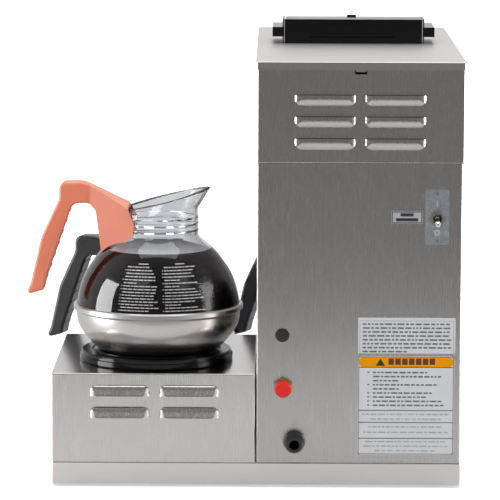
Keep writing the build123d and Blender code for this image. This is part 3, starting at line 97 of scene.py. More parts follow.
class Surface:
    """A procedural material on one principled shader, with helpers for its nodes."""

    def __init__(self, name, colour, roughness, metallic=0.0, **sockets):
        self.material = bpy.data.materials.new(name)
        self.material.use_nodes = True
        self.nodes = self.material.node_tree.nodes
        self.links = self.material.node_tree.links
        self.shader = self.nodes["Principled BSDF"]
        self.shader.inputs["Base Color"].default_value = (*colour, 1.0)
        self.shader.inputs["Roughness"].default_value = roughness
        self.shader.inputs["Metallic"].default_value = metallic
        for socket, value in sockets.items():
            self.shader.inputs[socket.replace("_", " ")].default_value = value
        self.place = self.nodes.new("ShaderNodeTexCoord").outputs["Object"]

    def node(self, kind, **settings):
        """New node with its settings."""
        made = self.nodes.new(kind)
        for key, value in settings.items():
            setattr(made, key, value)
        return made

    def stretched(self, x, y, z):
        """Object coordinates scaled by three factors."""
        mapping = self.node("ShaderNodeMapping")
        mapping.inputs["Scale"].default_value = (x, y, z)
        self.links.new(self.place, mapping.inputs["Vector"])
        return mapping.outputs["Vector"]

    def noise(self, scale, detail=2.0, stretch=(1, 1, 1)):
        """Noise value with scale in features per metre."""
        made = self.node("ShaderNodeTexNoise")
        made.inputs["Scale"].default_value = scale
        made.inputs["Detail"].default_value = detail
        self.links.new(self.stretched(*stretch), made.inputs["Vector"])
        return made.outputs["Fac"]

    def ranged(self, value, low, high, start=0.3, end=0.7):
        """Value mapped from start..end to low..high."""
        made = self.node("ShaderNodeMapRange")
        made.inputs["From Min"].default_value = start
        made.inputs["From Max"].default_value = end
        made.inputs["To Min"].default_value = low
        made.inputs["To Max"].default_value = high
        self.links.new(value, made.inputs["Value"])
        return made.outputs["Result"]

    def blend(self, factor, first, second):
        """Value or colour mixed by factor."""
        made = self.node("ShaderNodeMix", data_type="RGBA")
        self.links.new(factor, made.inputs["Factor"])
        for socket, source in (("A", first), ("B", second)):
            colour_socket = [s for s in made.inputs if s.name == socket and s.type == "RGBA"][0]
            if isinstance(source, tuple):
                colour_socket.default_value = (*source, 1.0)
            else:
                self.links.new(source, colour_socket)
        return [s for s in made.outputs if s.type == "RGBA"][0]

    def colour(self, source):
        """Base colour from a node."""
        self.links.new(source, self.shader.inputs["Base Color"])

    def roughness(self, source):
        """Roughness from a node."""
        self.links.new(source, self.shader.inputs["Roughness"])

    def bump(self, height, strength, distance):
        """Bump from a height value, with its distance in metres."""
        made = self.node("ShaderNodeBump")
        made.inputs["Strength"].default_value = strength
        made.inputs["Distance"].default_value = distance
        self.links.new(height, made.inputs["Height"])
        self.links.new(made.outputs["Normal"], self.shader.inputs["Normal"])


def scaled(colour, factor):
    """Colour made lighter or darker."""
    return tuple(min(1.0, c * factor) for c in colour)


def brushed_steel(name, colour, rough, lines=(1.0, 1.0, 0.012), flat_rough=None):
    """Satin sheet steel with fine brush lines, soft cloudy wear and smoother level faces."""
    steel = Surface(name, colour, rough, metallic=1.0)
    fine = steel.noise(2600.0, 2.0, lines)
    clouds = steel.noise(7.0, 3.0)
    tone = steel.blend(steel.ranged(fine, 0.0, 1.0), scaled(colour, 0.992), scaled(colour, 1.006))
    tone = steel.blend(steel.ranged(clouds, 0.0, 0.3), tone, scaled(colour, 0.88))
    steel.colour(tone)
    wall_rough = steel.ranged(fine, rough - 0.006, rough + 0.006)
    if flat_rough is None:
        steel.roughness(wall_rough)
    else:
        geometry = steel.node("ShaderNodeNewGeometry")
        split = steel.node("ShaderNodeSeparateXYZ")
        steel.links.new(geometry.outputs["Normal"], split.inputs["Vector"])
        level = steel.ranged(split.outputs["Z"], 0.0, 1.0, 0.5, 0.95)
        mix = steel.node("ShaderNodeMix", data_type="FLOAT")
        steel.links.new(level, mix.inputs["Factor"])
        steel.links.new(wall_rough, mix.inputs["A"])
        mix.inputs["B"].default_value = flat_rough
        steel.roughness(mix.outputs["Result"])
    steel.bump(fine, 0.006, 0.00003)
    return steel.material


def moulded(name, colour, rough, grain=1400.0, depth=0.00005, coat=0.0, mottle=0.12,
            shine=0.5):
    """Moulded plastic with a fine grain and slight colour clouds."""
    plastic = Surface(name, colour, rough, Coat_Weight=coat, Coat_Roughness=0.08,
                      Specular_IOR_Level=shine)
    grains = plastic.noise(grain, 2.0)
    clouds = plastic.noise(28.0, 3.0)
    plastic.colour(plastic.blend(plastic.ranged(clouds, 0.0, 1.0), scaled(colour, 1.0 - mottle),
                                 scaled(colour, 1.0 + mottle)))
    plastic.roughness(plastic.ranged(clouds, rough - 0.05, rough + 0.07))
    plastic.bump(grains, 0.4, depth)
    return plastic.material


def clear_plastic():
    """Clear moulded bowl with faint flow waves."""
    clear = Surface("clear_bowl", (0.90, 0.91, 0.94), 0.02, IOR=1.49, Transmission_Weight=1.0)
    waves = clear.noise(16.0, 1.0, (1.0, 1.0, 0.5))
    clear.roughness(clear.ranged(waves, 0.0, 0.05))
    clear.bump(waves, 0.05, 0.0004)
    return clear.material


def coffee_liquid():
    """Black coffee, with painted light: a dark red glow towards its outline, where light would
    shine through a thin layer.
    """
    coffee = Surface("coffee", (0.004, 0.002, 0.002), 0.04, IOR=1.33, Specular_IOR_Level=0.15)
    # Painted light: the facing mask paints the dark red glow on the coffee's grazing rim.
    painted_glow_rim = coffee.node("ShaderNodeLayerWeight")
    painted_glow_rim.inputs["Blend"].default_value = 0.22
    ripple = coffee.noise(60.0, 2.0)
    coffee.colour(coffee.blend(coffee.ranged(painted_glow_rim.outputs["Facing"], 0.0, 1.0, 0.72, 0.98),
                               (0.004, 0.002, 0.002), (0.10, 0.008, 0.006)))
    coffee.roughness(coffee.ranged(ripple, 0.02, 0.07))
    return coffee.material


def printed_film(name, colour):
    """Label film with a faint paper fibre."""
    film = Surface(name, colour, 0.38, Coat_Weight=0.15)
    fibres = film.noise(900.0, 3.0)
    clouds = film.noise(40.0, 2.0)
    film.colour(film.blend(film.ranged(clouds, 0.0, 1.0), scaled(colour, 0.96), colour))
    film.bump(fibres, 0.3, 0.00003)
    return film.material


def plated(name, colour, rough):
    """Small plated or machined metal part with turning marks and tarnish."""
    metal = Surface(name, colour, rough, metallic=1.0)
    marks = metal.noise(1800.0, 2.0, (1.0, 0.2, 1.0))
    tarnish = metal.noise(130.0, 3.0)
    metal.colour(metal.blend(metal.ranged(tarnish, 0.0, 1.0), scaled(colour, 0.75), colour))
    metal.roughness(metal.ranged(marks, rough - 0.06, rough + 0.1))
    metal.bump(marks, 0.3, 0.00004)
    return metal.material


def switch_case():
    """Black switch case inside the wall, bright threaded collar outside it."""
    case = Surface("switch_case", (0.015, 0.015, 0.016), 0.4)
    split = case.node("ShaderNodeSeparateXYZ")
    case.links.new(case.place, split.inputs["Vector"])
    wall_y = REAR_Y - 1.5 * MM
    outside = case.ranged(split.outputs["Y"], 0.0, 1.0, wall_y, wall_y + 0.5 * MM)
    thread = case.noise(1500.0, 1.0, (0.2, 1.0, 0.2))
    # The thread rings swing the collar's colour lighter and darker: painted highlight on the
    # crests and painted shade in the grooves.
    bright = case.blend(case.ranged(thread, 0.0, 1.0), (0.45, 0.43, 0.40), (0.80, 0.78, 0.74))
    case.colour(case.blend(outside, (0.015, 0.015, 0.016), bright))
    case.links.new(outside, case.shader.inputs["Metallic"])
    case.roughness(case.ranged(outside, 0.4, 0.16, 0.0, 1.0))
    case.bump(thread, 0.3, 0.00005)
    return case.material


STEEL = (0.63, 0.612, 0.60)
# Lit and shaded copies of one steel colour: the darker tower copy is painted shade, and the
# brighter box, base and lid copies are painted light.
tower_steel_painted_shade = brushed_steel("tower_steel_painted_shade", scaled(STEEL, 0.87), 0.27)
box_steel_painted_light = brushed_steel("box_steel_painted_light", scaled(STEEL, 1.1), 0.27, flat_rough=0.15)
base_steel_painted_light = brushed_steel("base_steel_painted_light", scaled(STEEL, 1.24), 0.25, (0.012, 1.0, 1.0), 0.16)
lid_steel_painted_light = brushed_steel("lid_steel_painted_light", scaled(STEEL, 1.08), 0.25, (1.0, 0.012, 1.0), 0.4)
# Darker copy of the same steel for the hood's underside and the inner parts: painted shade.
inner_steel_painted_shade = brushed_steel("inner_steel_painted_shade", scaled(STEEL, 0.7), 0.38)
pan_steel = brushed_steel("pan_steel", (0.60, 0.58, 0.56), 0.26, (0.03, 0.03, 1.0))
switch_metal = switch_case()
zinc = plated("zinc", (0.86, 0.93, 1.0), 0.2)
nickel = plated("nickel", (0.80, 0.78, 0.74), 0.14)
brass = plated("brass", (0.72, 0.50, 0.20), 0.28)
copper = plated("copper", (0.72, 0.42, 0.28), 0.3)
heater_metal = plated("heater_metal", (0.42, 0.40, 0.38), 0.4)
orange = moulded("orange", (0.78, 0.225, 0.130), 0.38, coat=0.05, mottle=0.05)
black_satin = moulded("black_satin", (0.012, 0.012, 0.014), 0.30, coat=0.1)
black_gloss = moulded("black_gloss", (0.004, 0.004, 0.005), 0.09, grain=500.0, depth=0.00001,
                      shine=0.28)
black_mould = moulded("black_mould", (0.015, 0.015, 0.016), 0.40)
rubber = moulded("rubber", (0.02, 0.02, 0.02), 0.75, depth=0.0001)
silicone = moulded("silicone", (0.75, 0.74, 0.70), 0.5)
nylon = moulded("nylon", (0.78, 0.78, 0.75), 0.4)
phenolic = moulded("phenolic", (0.08, 0.07, 0.06), 0.45)
board = moulded("board", (0.03, 0.20, 0.09), 0.4)
red_vinyl = moulded("red_vinyl", (0.72, 0.020, 0.016), 0.35, mottle=0.08, shine=0.3)
green_button = moulded("green_button", (0.03, 0.30, 0.10), 0.3, coat=0.3)
amber_lens = moulded("amber_lens", (0.85, 0.40, 0.04), 0.15, coat=0.5)
white_film = printed_film("white_film", (0.64, 0.65, 0.67))
grey_film = printed_film("grey_film", (0.42, 0.43, 0.45))
clear_bowl = clear_plastic()
coffee_black = coffee_liquid()
ink_black = moulded("ink_black", (0.02, 0.02, 0.022), 0.5)
ink_grey = moulded("ink_grey", (0.13, 0.13, 0.14), 0.5)
ink_brown = moulded("ink_brown", (0.09, 0.035, 0.015), 0.5)
ink_pale = moulded("ink_pale", (0.40, 0.41, 0.43), 0.5)
ink_white = moulded("ink_white", (0.50, 0.49, 0.50), 0.5)
ink_amber = moulded("ink_amber", (0.80, 0.30, 0.0), 0.5, mottle=0.05, shine=0.1)

NODE_MATERIALS = {
    "tower_shell": tower_steel_painted_shade, "tower_front_panel": tower_steel_painted_shade, "hood_shell": tower_steel_painted_shade,
    "control_panel": tower_steel_painted_shade, "hood_floor": inner_steel_painted_shade, "top_lid": lid_steel_painted_light,
    "side_box": box_steel_painted_light, "base_tray": base_steel_painted_light, "base_plate": zinc, "funnel_rails": zinc,
    "toggle_plate": zinc, "case_screws": nickel, "toggle_nut": nickel, "toggle_lever": nickel,
    "tank": inner_steel_painted_shade, "tank_lid": inner_steel_painted_shade, "brew_funnel": inner_steel_painted_shade,
    "tank_gasket": silicone, "tank_heater": heater_metal, "warmer_elements": heater_metal,
    "thermostat": phenolic, "timer_board": board, "inlet_tube": copper, "spray_tube": copper,
    "inlet_valve": nylon, "inlet_fitting": brass, "inlet_cap": red_vinyl,
    "cord_gland": black_satin, "hole_plug": black_mould, "switch_bank": black_mould,
    "toggle_body": switch_metal, "warmer_rocker_1": black_mould, "warmer_rocker_2": black_mould,
    "warmer_rocker_3": black_mould, "basin": black_mould, "sprayhead": black_mould,
    "funnel_handle": black_satin, "hatch_frame": black_gloss, "hatch_lid": black_gloss,
    "rubber_feet": rubber, "start_button": green_button, "ready_lamp": amber_lens,
    "heater_label": grey_film, "notice_label": white_film, "caution_label": white_film,
}
DECANTERS = {"rear": orange, "left": black_satin, "brew": black_satin}
for where, grip in DECANTERS.items():
    NODE_MATERIALS[f"{where}_decanter_handle"] = grip
    NODE_MATERIALS[f"{where}_decanter_pan"] = pan_steel
    NODE_MATERIALS[f"{where}_decanter_bowl"] = clear_bowl
    NODE_MATERIALS[f"{where}_warmer_ring"] = black_gloss
    NODE_MATERIALS[f"{where}_warmer_plate"] = black_gloss

for node, material in NODE_MATERIALS.items():
    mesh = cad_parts[node].data
    mesh.materials.clear()
    mesh.materials.append(material)

# ---- mesh helpers -----------------------------------------------------------
SEGMENTS = 160
ring_angles = [2 * math.pi * s / SEGMENTS for s in range(SEGMENTS)]


def add_piece(name, points, faces, material, body, smooth=True):
    """New visible piece whose points are already in the row frame."""
    mesh = bpy.data.meshes.new(name)
    mesh.from_pydata([tuple(p) for p in points], [], faces)
    mesh.materials.append(material)
    if smooth:
        mesh.shade_smooth()
    piece = bpy.data.objects.new(name, mesh)
    bpy.context.scene.collection.objects.link(piece)
    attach(piece, body)
    return piece


def grid_faces(rows, columns):
    """Quads between rows of a grid that closes round in the column direction."""
    return [(r * columns + c, r * columns + (c + 1) % columns,
             (r + 1) * columns + (c + 1) % columns, (r + 1) * columns + c)
            for r in range(rows - 1) for c in range(columns)]


def curve_through(points, steps):
    """Smooth curve through (radius, height) points."""
    padded = [points[0], *points, points[-1]]
    out = []
    for a, b, c, d in zip(padded, padded[1:], padded[2:], padded[3:]):
        for i in range(steps):
            t = i / steps
            out.append(tuple(0.5 * (2 * q + (r - p) * t + (2 * p - 5 * q + 4 * r - s) * t * t
                                    + (3 * q - p - 3 * r + s) * t ** 3)
                             for p, q, r, s in zip(a, b, c, d)))
    out.append(points[-1])
    return out


def lathe(profile):
    """Points and faces of a closed solid of revolution from (radius, height) pairs."""
    points = []
    for radius, height in profile:
        for angle in ring_angles:
            points.append(Vector((radius * math.cos(angle), radius * math.sin(angle), height)))
    faces = grid_faces(len(profile), SEGMENTS)
    last = (len(profile) - 1) * SEGMENTS
    faces.append(tuple(reversed(range(SEGMENTS))))
    faces.append(tuple(last + s for s in range(SEGMENTS)))
    return points, faces


# ---- decanters --------------------------------------------------------------
BOWL_WALL = 2.4
BOWL_CURVE = [(83.0, 47.5), (82.4, 51.0), (79.6, 63.8), (73.4, 79.2), (60.0, 98.8),
              (46.6, 110.8), (41.2, 116.6), (40.6, 119.0)]
NECK_R = 40.6
NECK_RIDGES = (122.5, 129.0, 135.5)
RIDGE_PROUD = 0.7
WAIST_FRONT_H = 144.5
WAIST_BACK_H = 138.0
LIP_FRONT = 53.0
LIP_FRONT_H = 165.0
LIP_BACK_H = 142.0
LIP_HALF_WIDTH = 35.0
LIP_PINCH = 0.6
LEDGE = [(82.9, 42.8), (83.0, 45.0)]       # the bowl's foot inside the pan's rim
FLARE_STEPS = 7
CURVE_STEPS = 6
HANDLE_TURN = {"rear": 0.0, "left": 17.5, "brew": 20.0}
PAN_INSIDE = [(0.5, 1.4), (56.0, 1.4), (70.0, 11.8), (78.8, 24.5), (80.3, 38.0)]
COFFEE_START = 46.0          # height where the coffee's side follows the bowl
COFFEE_LEVEL = 103.0
COFFEE_RINGS = 18
COFFEE_OVERLAP = 0.1         # coffee reaches into the bowl's wall, so that no air gap shows
MENISCUS_DROP = 0.7


def decanter_place(where):
    """Matrix from a decanter's own frame, in mm, to the row frame."""
    low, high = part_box(f"{where}_decanter_pan")
    turn = math.radians(-HANDLE_TURN[where])
    centre = Vector(((low.x + high.x) / 2, (low.y + high.y) / 2, low.z))
    return Matrix.Translation(centre) @ Matrix.Rotation(turn, 4, "Z") @ Matrix.Scale(MM, 4)


def bowl_rows():
    """Rings of the bowl's outer surface, from the pan's ledge to the lip."""
    outline = LEDGE + curve_through(BOWL_CURVE, CURVE_STEPS)
    for ridge in NECK_RIDGES:
        outline += [(NECK_R, ridge - 1.2), (NECK_R + RIDGE_PROUD, ridge - 0.4),
                    (NECK_R + RIDGE_PROUD, ridge + 0.4), (NECK_R, ridge + 1.2)]
    rows = [[(r * math.cos(a), r * math.sin(a), h) for a in ring_angles] for r, h in outline]
    waist = []
    lip = []
    slope = (WAIST_FRONT_H - WAIST_BACK_H) / (2 * NECK_R)
    half = (LIP_FRONT + NECK_R) / 2
    for a in ring_angles:
        x, y = NECK_R * math.cos(a), NECK_R * math.sin(a)
        waist.append((x, y, WAIST_BACK_H + (NECK_R - x) * slope))
        lip_x = NECK_R - half + half * math.cos(a)
        power = 1.0 + LIP_PINCH * max(0.0, -math.cos(a))
        lip_y = LIP_HALF_WIDTH * math.copysign(abs(math.sin(a)) ** power, math.sin(a))
        rise = (NECK_R - lip_x) / (2 * half)
        lip.append((lip_x, lip_y, LIP_BACK_H + (LIP_FRONT_H - LIP_BACK_H) * rise))
    rows.append(waist)
    for i in range(1, FLARE_STEPS + 1):
        t = i / FLARE_STEPS
        rows.append([tuple(p + (q - p) * t for p, q in zip(w, l)) for w, l in zip(waist, lip)])
    return rows


def bowl_radius(height):
    """Outer radius of the bowl at a height below the neck."""
    outline = curve_through(BOWL_CURVE, CURVE_STEPS)
    for (r0, h0), (r1, h1) in zip(outline, outline[1:]):
        if h0 <= height <= h1:
            return r0 + (r1 - r0) * (height - h0) / max(h1 - h0, 1e-6)
    return NECK_R


def make_bowl(where):
    """Clear bowl with ridged neck and pinched spout, in place of the plain CAD bowl."""
    rows = bowl_rows()
    place = decanter_place(where)
    points = [place @ Vector(p) for row in rows for p in row]
    body = f"{where}_decanter"
    bowl = add_piece(f"{where}_bowl", points, grid_faces(len(rows), SEGMENTS), clear_bowl,
                     body)
    wall = bowl.modifiers.new("wall", "SOLIDIFY")
    wall.thickness = BOWL_WALL * MM
    wall.offset = -1.0
    wall.use_even_offset = True
    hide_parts(f"{where}_decanter_bowl")


def make_coffee(where):
    """Coffee that fills the pan and the bowl up to its level."""
    inset = BOWL_WALL - COFFEE_OVERLAP
    curve_start = BOWL_CURVE[0][1] + 0.1
    wall = []
    for i in range(COFFEE_RINGS + 1):
        height = COFFEE_START + (COFFEE_LEVEL - COFFEE_START) * i / COFFEE_RINGS
        wall.append((bowl_radius(max(height, curve_start)) - inset, height))
    edge_r, _ = wall[-1]
    top = [(edge_r - 0.6, COFFEE_LEVEL - 0.5), (edge_r - 2.0, COFFEE_LEVEL - MENISCUS_DROP),
           (PAN_INSIDE[0][0], COFFEE_LEVEL - MENISCUS_DROP)]
    points, faces = lathe(PAN_INSIDE + wall + top)
    place = decanter_place(where)
    add_piece(f"{where}_coffee", [place @ p for p in points], faces, coffee_black,
              f"{where}_decanter")


TEXT_COLUMNS = ((25.8, -3.0), (-6.5, -37.5))     # azimuths in degrees from straight back
TEXT_TOP = 94.5
TEXT_PITCH = 2.97
TEXT_LINES = 15
TEXT_HEIGHT = 0.95
TEXT_LIFT = 0.25
TITLE_HALF = 4.5             # half the angle that a column's title covers
STRIP_STEP = 1.5             # degrees of one face along a printed strip


def word_spans(start, end, low=1.6, high=6.0, gap=0.9, fill=1.0):
    """Random word lengths that fill a line from start towards end."""
    spans = []
    here = start
    limit = start + (end - start) * fill
    while here < limit - low:
        length = min(rng.uniform(low, high), limit - here)
        spans.append((here, here + length))
        here += length + gap
    return spans


def make_bowl_print(where):
    """Two columns of generic printed lines on the bowl's rear side."""
    place = decanter_place(where)
    points = []
    faces = []

    def strip(angle0, angle1, height):
        """One printed bar between two azimuths, just off the bowl."""
        steps = max(2, int(abs(angle1 - angle0) / STRIP_STEP))
        base = len(points)
        for i in range(steps + 1):
            angle = math.radians(angle0 + (angle1 - angle0) * i / steps)
            for dz in (0.0, TEXT_HEIGHT):
                r = bowl_radius(height + dz) + TEXT_LIFT
                points.append(place @ Vector((r * math.sin(angle), r * math.cos(angle),
                                              height + dz)))
        for i in range(steps):
            a = base + 2 * i
            faces.append((a, a + 1, a + 3, a + 2))

    for left, right in TEXT_COLUMNS:
        middle = (left + right) / 2
        strip(middle + TITLE_HALF, middle - TITLE_HALF, TEXT_TOP)
        for line in range(1, TEXT_LINES + 1):
            height = TEXT_TOP - line * TEXT_PITCH
            starts_item = line > 1 and rng.random() < 0.55
            if starts_item:
                strip(left + 1.2, left + 0.5, height)
            fill = rng.uniform(0.72, 1.0) if starts_item or rng.random() < 0.6 else 0.4
            length = (left - right) * fill
            for start, end in word_spans(0.4, length, 1.4, 5.0, 0.65):
                strip(left - start, left - end, height)
    add_piece(f"{where}_bowl_print", points, faces, ink_white, f"{where}_decanter",
              smooth=False)


for where in DECANTERS:
    make_bowl(where)
    make_bowl_print(where)
make_coffee("rear")

# ---- labels -----------------------------------------------------------------
# Boxes on the rear wall are x0, x1, z0, z1; text runs from a larger x to a smaller one.
LABEL_FACE = 0.3
INK = 0.06
NOTICE_FRAME = (-196.2, -102.7, 136.2, 169.6)
NOTICE_TEXT_X = (-105.5, -193.5)
NOTICE_TOP = 165.3
NOTICE_LINES = 8
NOTICE_PITCH = 3.95
HEATER_FRAME = (-163.6, -133.4, 267.3, 279.0)
HEATER_WORDS = [(-155.0, -142.0, 274.1, 277.3), (-159.5, -137.5, 269.2, 272.4)]
CAUTION_X = (-196.0, -102.2)
CAUTION_Z = (34.6, 133.3)
CAUTION_DIVIDERS = (79.0, 66.8, 50.7)
CAUTION_HEAD = (122.9, 132.8)
CAUTION_CORNER = 2.6
HEADING_X = (-131.0, -178.8)
HEADING_Z = (124.6, 132.2)
HEADING_BARS = 7
MARK_X = -123.5
MARK_Z = 124.1
MARK_HALF = 4.6
MARK_HEIGHT = 7.6
LIST_X = (-116.0, -190.0)
LIST_TOP = 116.6
LIST_PITCH = 4.15
LIST_LINES = 9
LIST_ITEM_STARTS = (0, 3, 5, 6, 7, 8)
LIST_SHORT_LINES = (2, 4)
BULLET_X = (-112.6, -110.6)
NOTE_LINES = ((74.3, 0.93), (69.3, 0.75), (61.6, 0.8), (56.0, 0.9), (46.6, 0.86),
              (42.0, 0.9), (37.4, 0.66))       # height, share of the width
SWITCH_X = -178.3
SWITCH_Z = 272.7
SWITCH_PLATE_FACE = 1.0
SWITCH_MARK_OFFSET = 14.5
BAR_HALF_W = 0.6
BAR_HALF_H = 2.6
RING_RADII = (1.7, 2.9)
RING_SIDES = 24


def print_on_rear(name, rects, material, lift=0.0, round_by=0.25):
    """Flat printed marks (x0, x1, z0, z1) on a label on the tower's rear wall."""
    points = []
    faces = []
    y = LABEL_FACE + INK + lift
    for x0, x1, z0, z1 in rects:
        cut = min(round_by, (x1 - x0) / 3, (z1 - z0) / 3)
        outline = [(x0 + cut, z0), (x1 - cut, z0), (x1, z0 + cut), (x1, z1 - cut),
                   (x1 - cut, z1), (x0 + cut, z1), (x0, z1 - cut), (x0, z0 + cut)]
        base = len(points)
        points += [at(x, y, z) for x, z in outline]
        points += [at(x, LABEL_FACE - 0.1, z) for x, z in outline]
        count = len(outline)
        faces.append(tuple(base + i for i in reversed(range(count))))
        faces += [(base + i, base + (i + 1) % count, base + count + (i + 1) % count,
                   base + count + i) for i in range(count)]
    return add_piece(name, points, faces, material, "chassis", smooth=False)


def text_line(x_left, x_right, z, height, low=1.6, high=6.5, gap=1.0, fill=1.0):
    """Words of one line; the reader's left is +x."""
    return [(x_left - b, x_left - a, z, z + height)
            for a, b in word_spans(0.0, x_left - x_right, low, high, gap, fill)]


def frame_rects(x0, x1, z0, z1, width):
    """Four bars round a box."""
    return [(x0, x1, z0, z0 + width), (x0, x1, z1 - width, z1),
            (x0, x0 + width, z0, z1), (x1 - width, x1, z0, z1)]


def make_notice_label():
    """Justified lines of small generic print inside a thin frame."""
    rects = frame_rects(*NOTICE_FRAME, 0.3)
    for line in range(NOTICE_LINES):
        z = NOTICE_TOP - line * NOTICE_PITCH
        fill = 1.0 if line < NOTICE_LINES - 1 else 0.5
        rects += text_line(*NOTICE_TEXT_X, z, 1.7, 1.8, 7.5, 1.3, fill)
    print_on_rear("notice_print", rects, ink_grey)


def make_heater_label():
    """Dark border and two short bars in place of words."""
    rects = frame_rects(*HEATER_FRAME, 0.9) + HEATER_WORDS
    print_on_rear("heater_print", rects, ink_black)


def make_caution_label():
    """Amber heading with a plain triangle, a list, and three boxed notes, all as blank bars."""
    x0, x1 = CAUTION_X
    head_z0, head_z1 = CAUTION_HEAD
    print_on_rear("caution_head", [(x0, x1, head_z0, head_z1)], ink_amber,
                  round_by=CAUTION_CORNER)
    lines = [(x0, x1, head_z0 - 0.7, head_z0)]
    lines += [(x0, x1, z - 0.35, z + 0.35) for z in CAUTION_DIVIDERS]
    lines += frame_rects(x0 - 0.4, x1 + 0.4, *CAUTION_Z, 0.5)
    print_on_rear("caution_lines", lines, ink_black, lift=0.02)
    pitch = (HEADING_X[1] - HEADING_X[0]) / HEADING_BARS
    heading = [(HEADING_X[0] + pitch * (i + 1) + 1.0, HEADING_X[0] + pitch * i - 0.4,
                HEADING_Z[0] + 0.6, HEADING_Z[1] - 0.6) for i in range(HEADING_BARS)]
    print_on_rear("caution_heading", heading, ink_brown, lift=0.04)
    rects = []
    for line in range(LIST_LINES):
        z = LIST_TOP - line * LIST_PITCH
        if line in LIST_ITEM_STARTS:
            rects.append((*BULLET_X, z + 0.2, z + 1.7))
        fill = 0.35 if line in LIST_SHORT_LINES else rng.uniform(0.72, 0.98)
        rects += text_line(*LIST_X, z, 1.6, 1.8, 7.0, 1.2, fill)
    print_on_rear("caution_print", rects, ink_grey)
    notes = []
    for z, fill in NOTE_LINES:
        inset = (1.0 - fill) * (x1 - x0) / 2
        notes += text_line(x1 - inset, x0 + inset, z, 1.5, 1.8, 8.0, 1.2)
    print_on_rear("caution_notes", notes, ink_pale)
    make_heading_mark()


def make_heading_mark():
    """Plain dark triangle at the start of the heading."""
    corners = ((MARK_X - MARK_HALF, MARK_Z), (MARK_X + MARK_HALF, MARK_Z),
               (MARK_X, MARK_Z + MARK_HEIGHT))
    points = [at(x, y, z) for y in (LABEL_FACE + INK + 0.04, LABEL_FACE - 0.1)
              for x, z in corners]
    faces = [(2, 1, 0), (0, 1, 4, 3), (1, 2, 5, 4), (2, 0, 3, 5)]
    add_piece("heading_mark", points, faces, ink_black, "chassis",
              smooth=False)


def make_switch_marks():
    """A bar above the lever and a ring below it, printed pale on the plate."""
    y = SWITCH_PLATE_FACE + INK
    top = SWITCH_Z + SWITCH_MARK_OFFSET
    bar = [(SWITCH_X + sx * BAR_HALF_W, top + sz * BAR_HALF_H)
           for sx, sz in ((-1, -1), (1, -1), (1, 1), (-1, 1))]
    points = [at(x, y, z) for x, z in bar]
    faces = [(3, 2, 1, 0)]
    base = len(points)
    for i in range(RING_SIDES):
        angle = 2 * math.pi * i / RING_SIDES
        for radius in RING_RADII:
            points.append(at(SWITCH_X + radius * math.cos(angle), y,
                             SWITCH_Z - SWITCH_MARK_OFFSET + radius * math.sin(angle)))
    for i in range(RING_SIDES):
        a = base + 2 * i
        b = base + 2 * ((i + 1) % RING_SIDES)
        faces.append((a, b, b + 1, a + 1))
    add_piece("switch_marks", points, faces, ink_white, "chassis", smooth=False)


make_notice_label()
make_heater_label()
make_caution_label()
make_switch_marks()

# ---- floor and light --------------------------------------------------------
FLOOR_HALF = 1.3             # metres
FLOOR_REAR = 1.0
FLOOR_GLOW = 0.75            # keeps the floor white where it is seen directly
WORLD_SEEN = 2.2             # white backdrop where it is seen directly
WORLD_FRONT = 1.0            # light from the machine's front side
WORLD_REAR = 0.30            # light from its rear side
EXPOSURE = -0.45


def make_floor():
    """Plain pale floor."""
    corners = [(-FLOOR_HALF, -FLOOR_HALF), (FLOOR_HALF, -FLOOR_HALF), (FLOOR_HALF, FLOOR_REAR),
               (-FLOOR_HALF, FLOOR_REAR)]
    mesh = bpy.data.meshes.new("floor")
    mesh.from_pydata([(x, y, COUNTER_Z) for x, y in corners], [], [(0, 1, 2, 3)])
    floor = bpy.data.objects.new("floor", mesh)
    bpy.context.scene.collection.objects.link(floor)
    pale = Surface("pale_floor", (0.66, 0.66, 0.66), 0.6, Emission_Color=(1.0, 1.0, 1.0, 1.0))
    pale.roughness(pale.ranged(pale.noise(30.0), 0.55, 0.65))
    seen = pale.node("ShaderNodeLightPath")
    pale.links.new(pale.ranged(seen.outputs["Is Camera Ray"], 0.0, FLOOR_GLOW, 0.0, 1.0),
                   pale.shader.inputs["Emission Strength"])
    mesh.materials.append(pale.material)


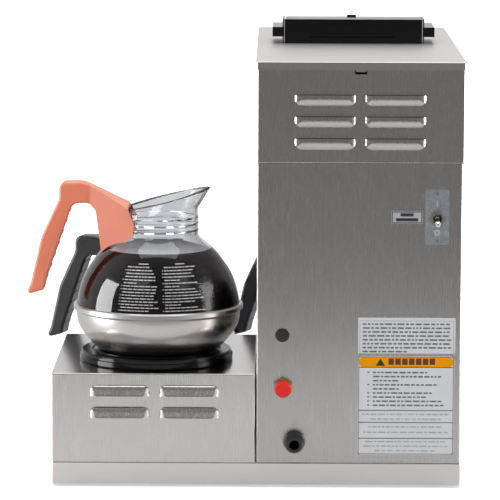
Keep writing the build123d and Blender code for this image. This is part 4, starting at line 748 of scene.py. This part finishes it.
def area_light(name, spot, target, size, power, size_y=None):
    """Soft area light aimed at a point."""
    data = bpy.data.lights.new(name, "AREA")
    data.shape = "RECTANGLE"
    data.size = size
    data.size_y = size_y or size
    data.energy = power
    lamp = bpy.data.objects.new(name, data)
    bpy.context.scene.collection.objects.link(lamp)
    lamp.location = spot
    lamp.rotation_mode = "QUATERNION"
    lamp.rotation_quaternion = (Vector(target) - Vector(spot)).to_track_quat("-Z", "Y")
    return lamp


def make_world():
    """White studio: bright on the machine's front side, dimmer on its rear side."""
    world = bpy.data.worlds.new("studio")
    bpy.context.scene.world = world
    world.use_nodes = True
    nodes, links = world.node_tree.nodes, world.node_tree.links
    background = nodes["Background"]
    place = nodes.new("ShaderNodeTexCoord")
    split = nodes.new("ShaderNodeSeparateXYZ")
    links.new(place.outputs["Generated"], split.inputs["Vector"])
    ramp = nodes.new("ShaderNodeMapRange")
    ramp.interpolation_type = "SMOOTHSTEP"
    ramp.inputs["From Min"].default_value = -0.35
    ramp.inputs["From Max"].default_value = 0.75
    ramp.inputs["To Min"].default_value = WORLD_FRONT
    ramp.inputs["To Max"].default_value = WORLD_REAR
    links.new(split.outputs["Y"], ramp.inputs["Value"])
    seen = nodes.new("ShaderNodeLightPath")
    pick = nodes.new("ShaderNodeMix")
    pick.data_type = "FLOAT"
    links.new(seen.outputs["Is Camera Ray"], pick.inputs["Factor"])
    links.new(ramp.outputs["Result"], pick.inputs["A"])
    pick.inputs["B"].default_value = WORLD_SEEN
    links.new(pick.outputs["Result"], background.inputs["Strength"])
    background.inputs["Color"].default_value = (1.0, 1.0, 1.0, 1.0)


make_floor()
make_world()
key_light = area_light("key_light", (0.9, 1.5, 1.7), (0, 0, 0.2), 0.9, 31.0)
fill_light = area_light("fill_light", (-1.1, 1.3, 1.5), (0, 0, 0.2), 0.7, 16.0)
for lamp in (key_light, fill_light):
    lamp.visible_glossy = False
area_light("top_light", (0.0, -0.3, 2.0), (0, 0, 0), 1.6, 22.0)
for side in (-1, 1):
    edge_light = area_light(f"edge_light_{side}", (1.25 * side, 0.35, 0.3), (0, 0, 0.25), 0.6,
                            32.0, size_y=1.2)
    edge_light.visible_diffuse = False
bpy.context.scene.view_settings.view_transform = "Standard"
bpy.context.scene.view_settings.exposure = EXPOSURE
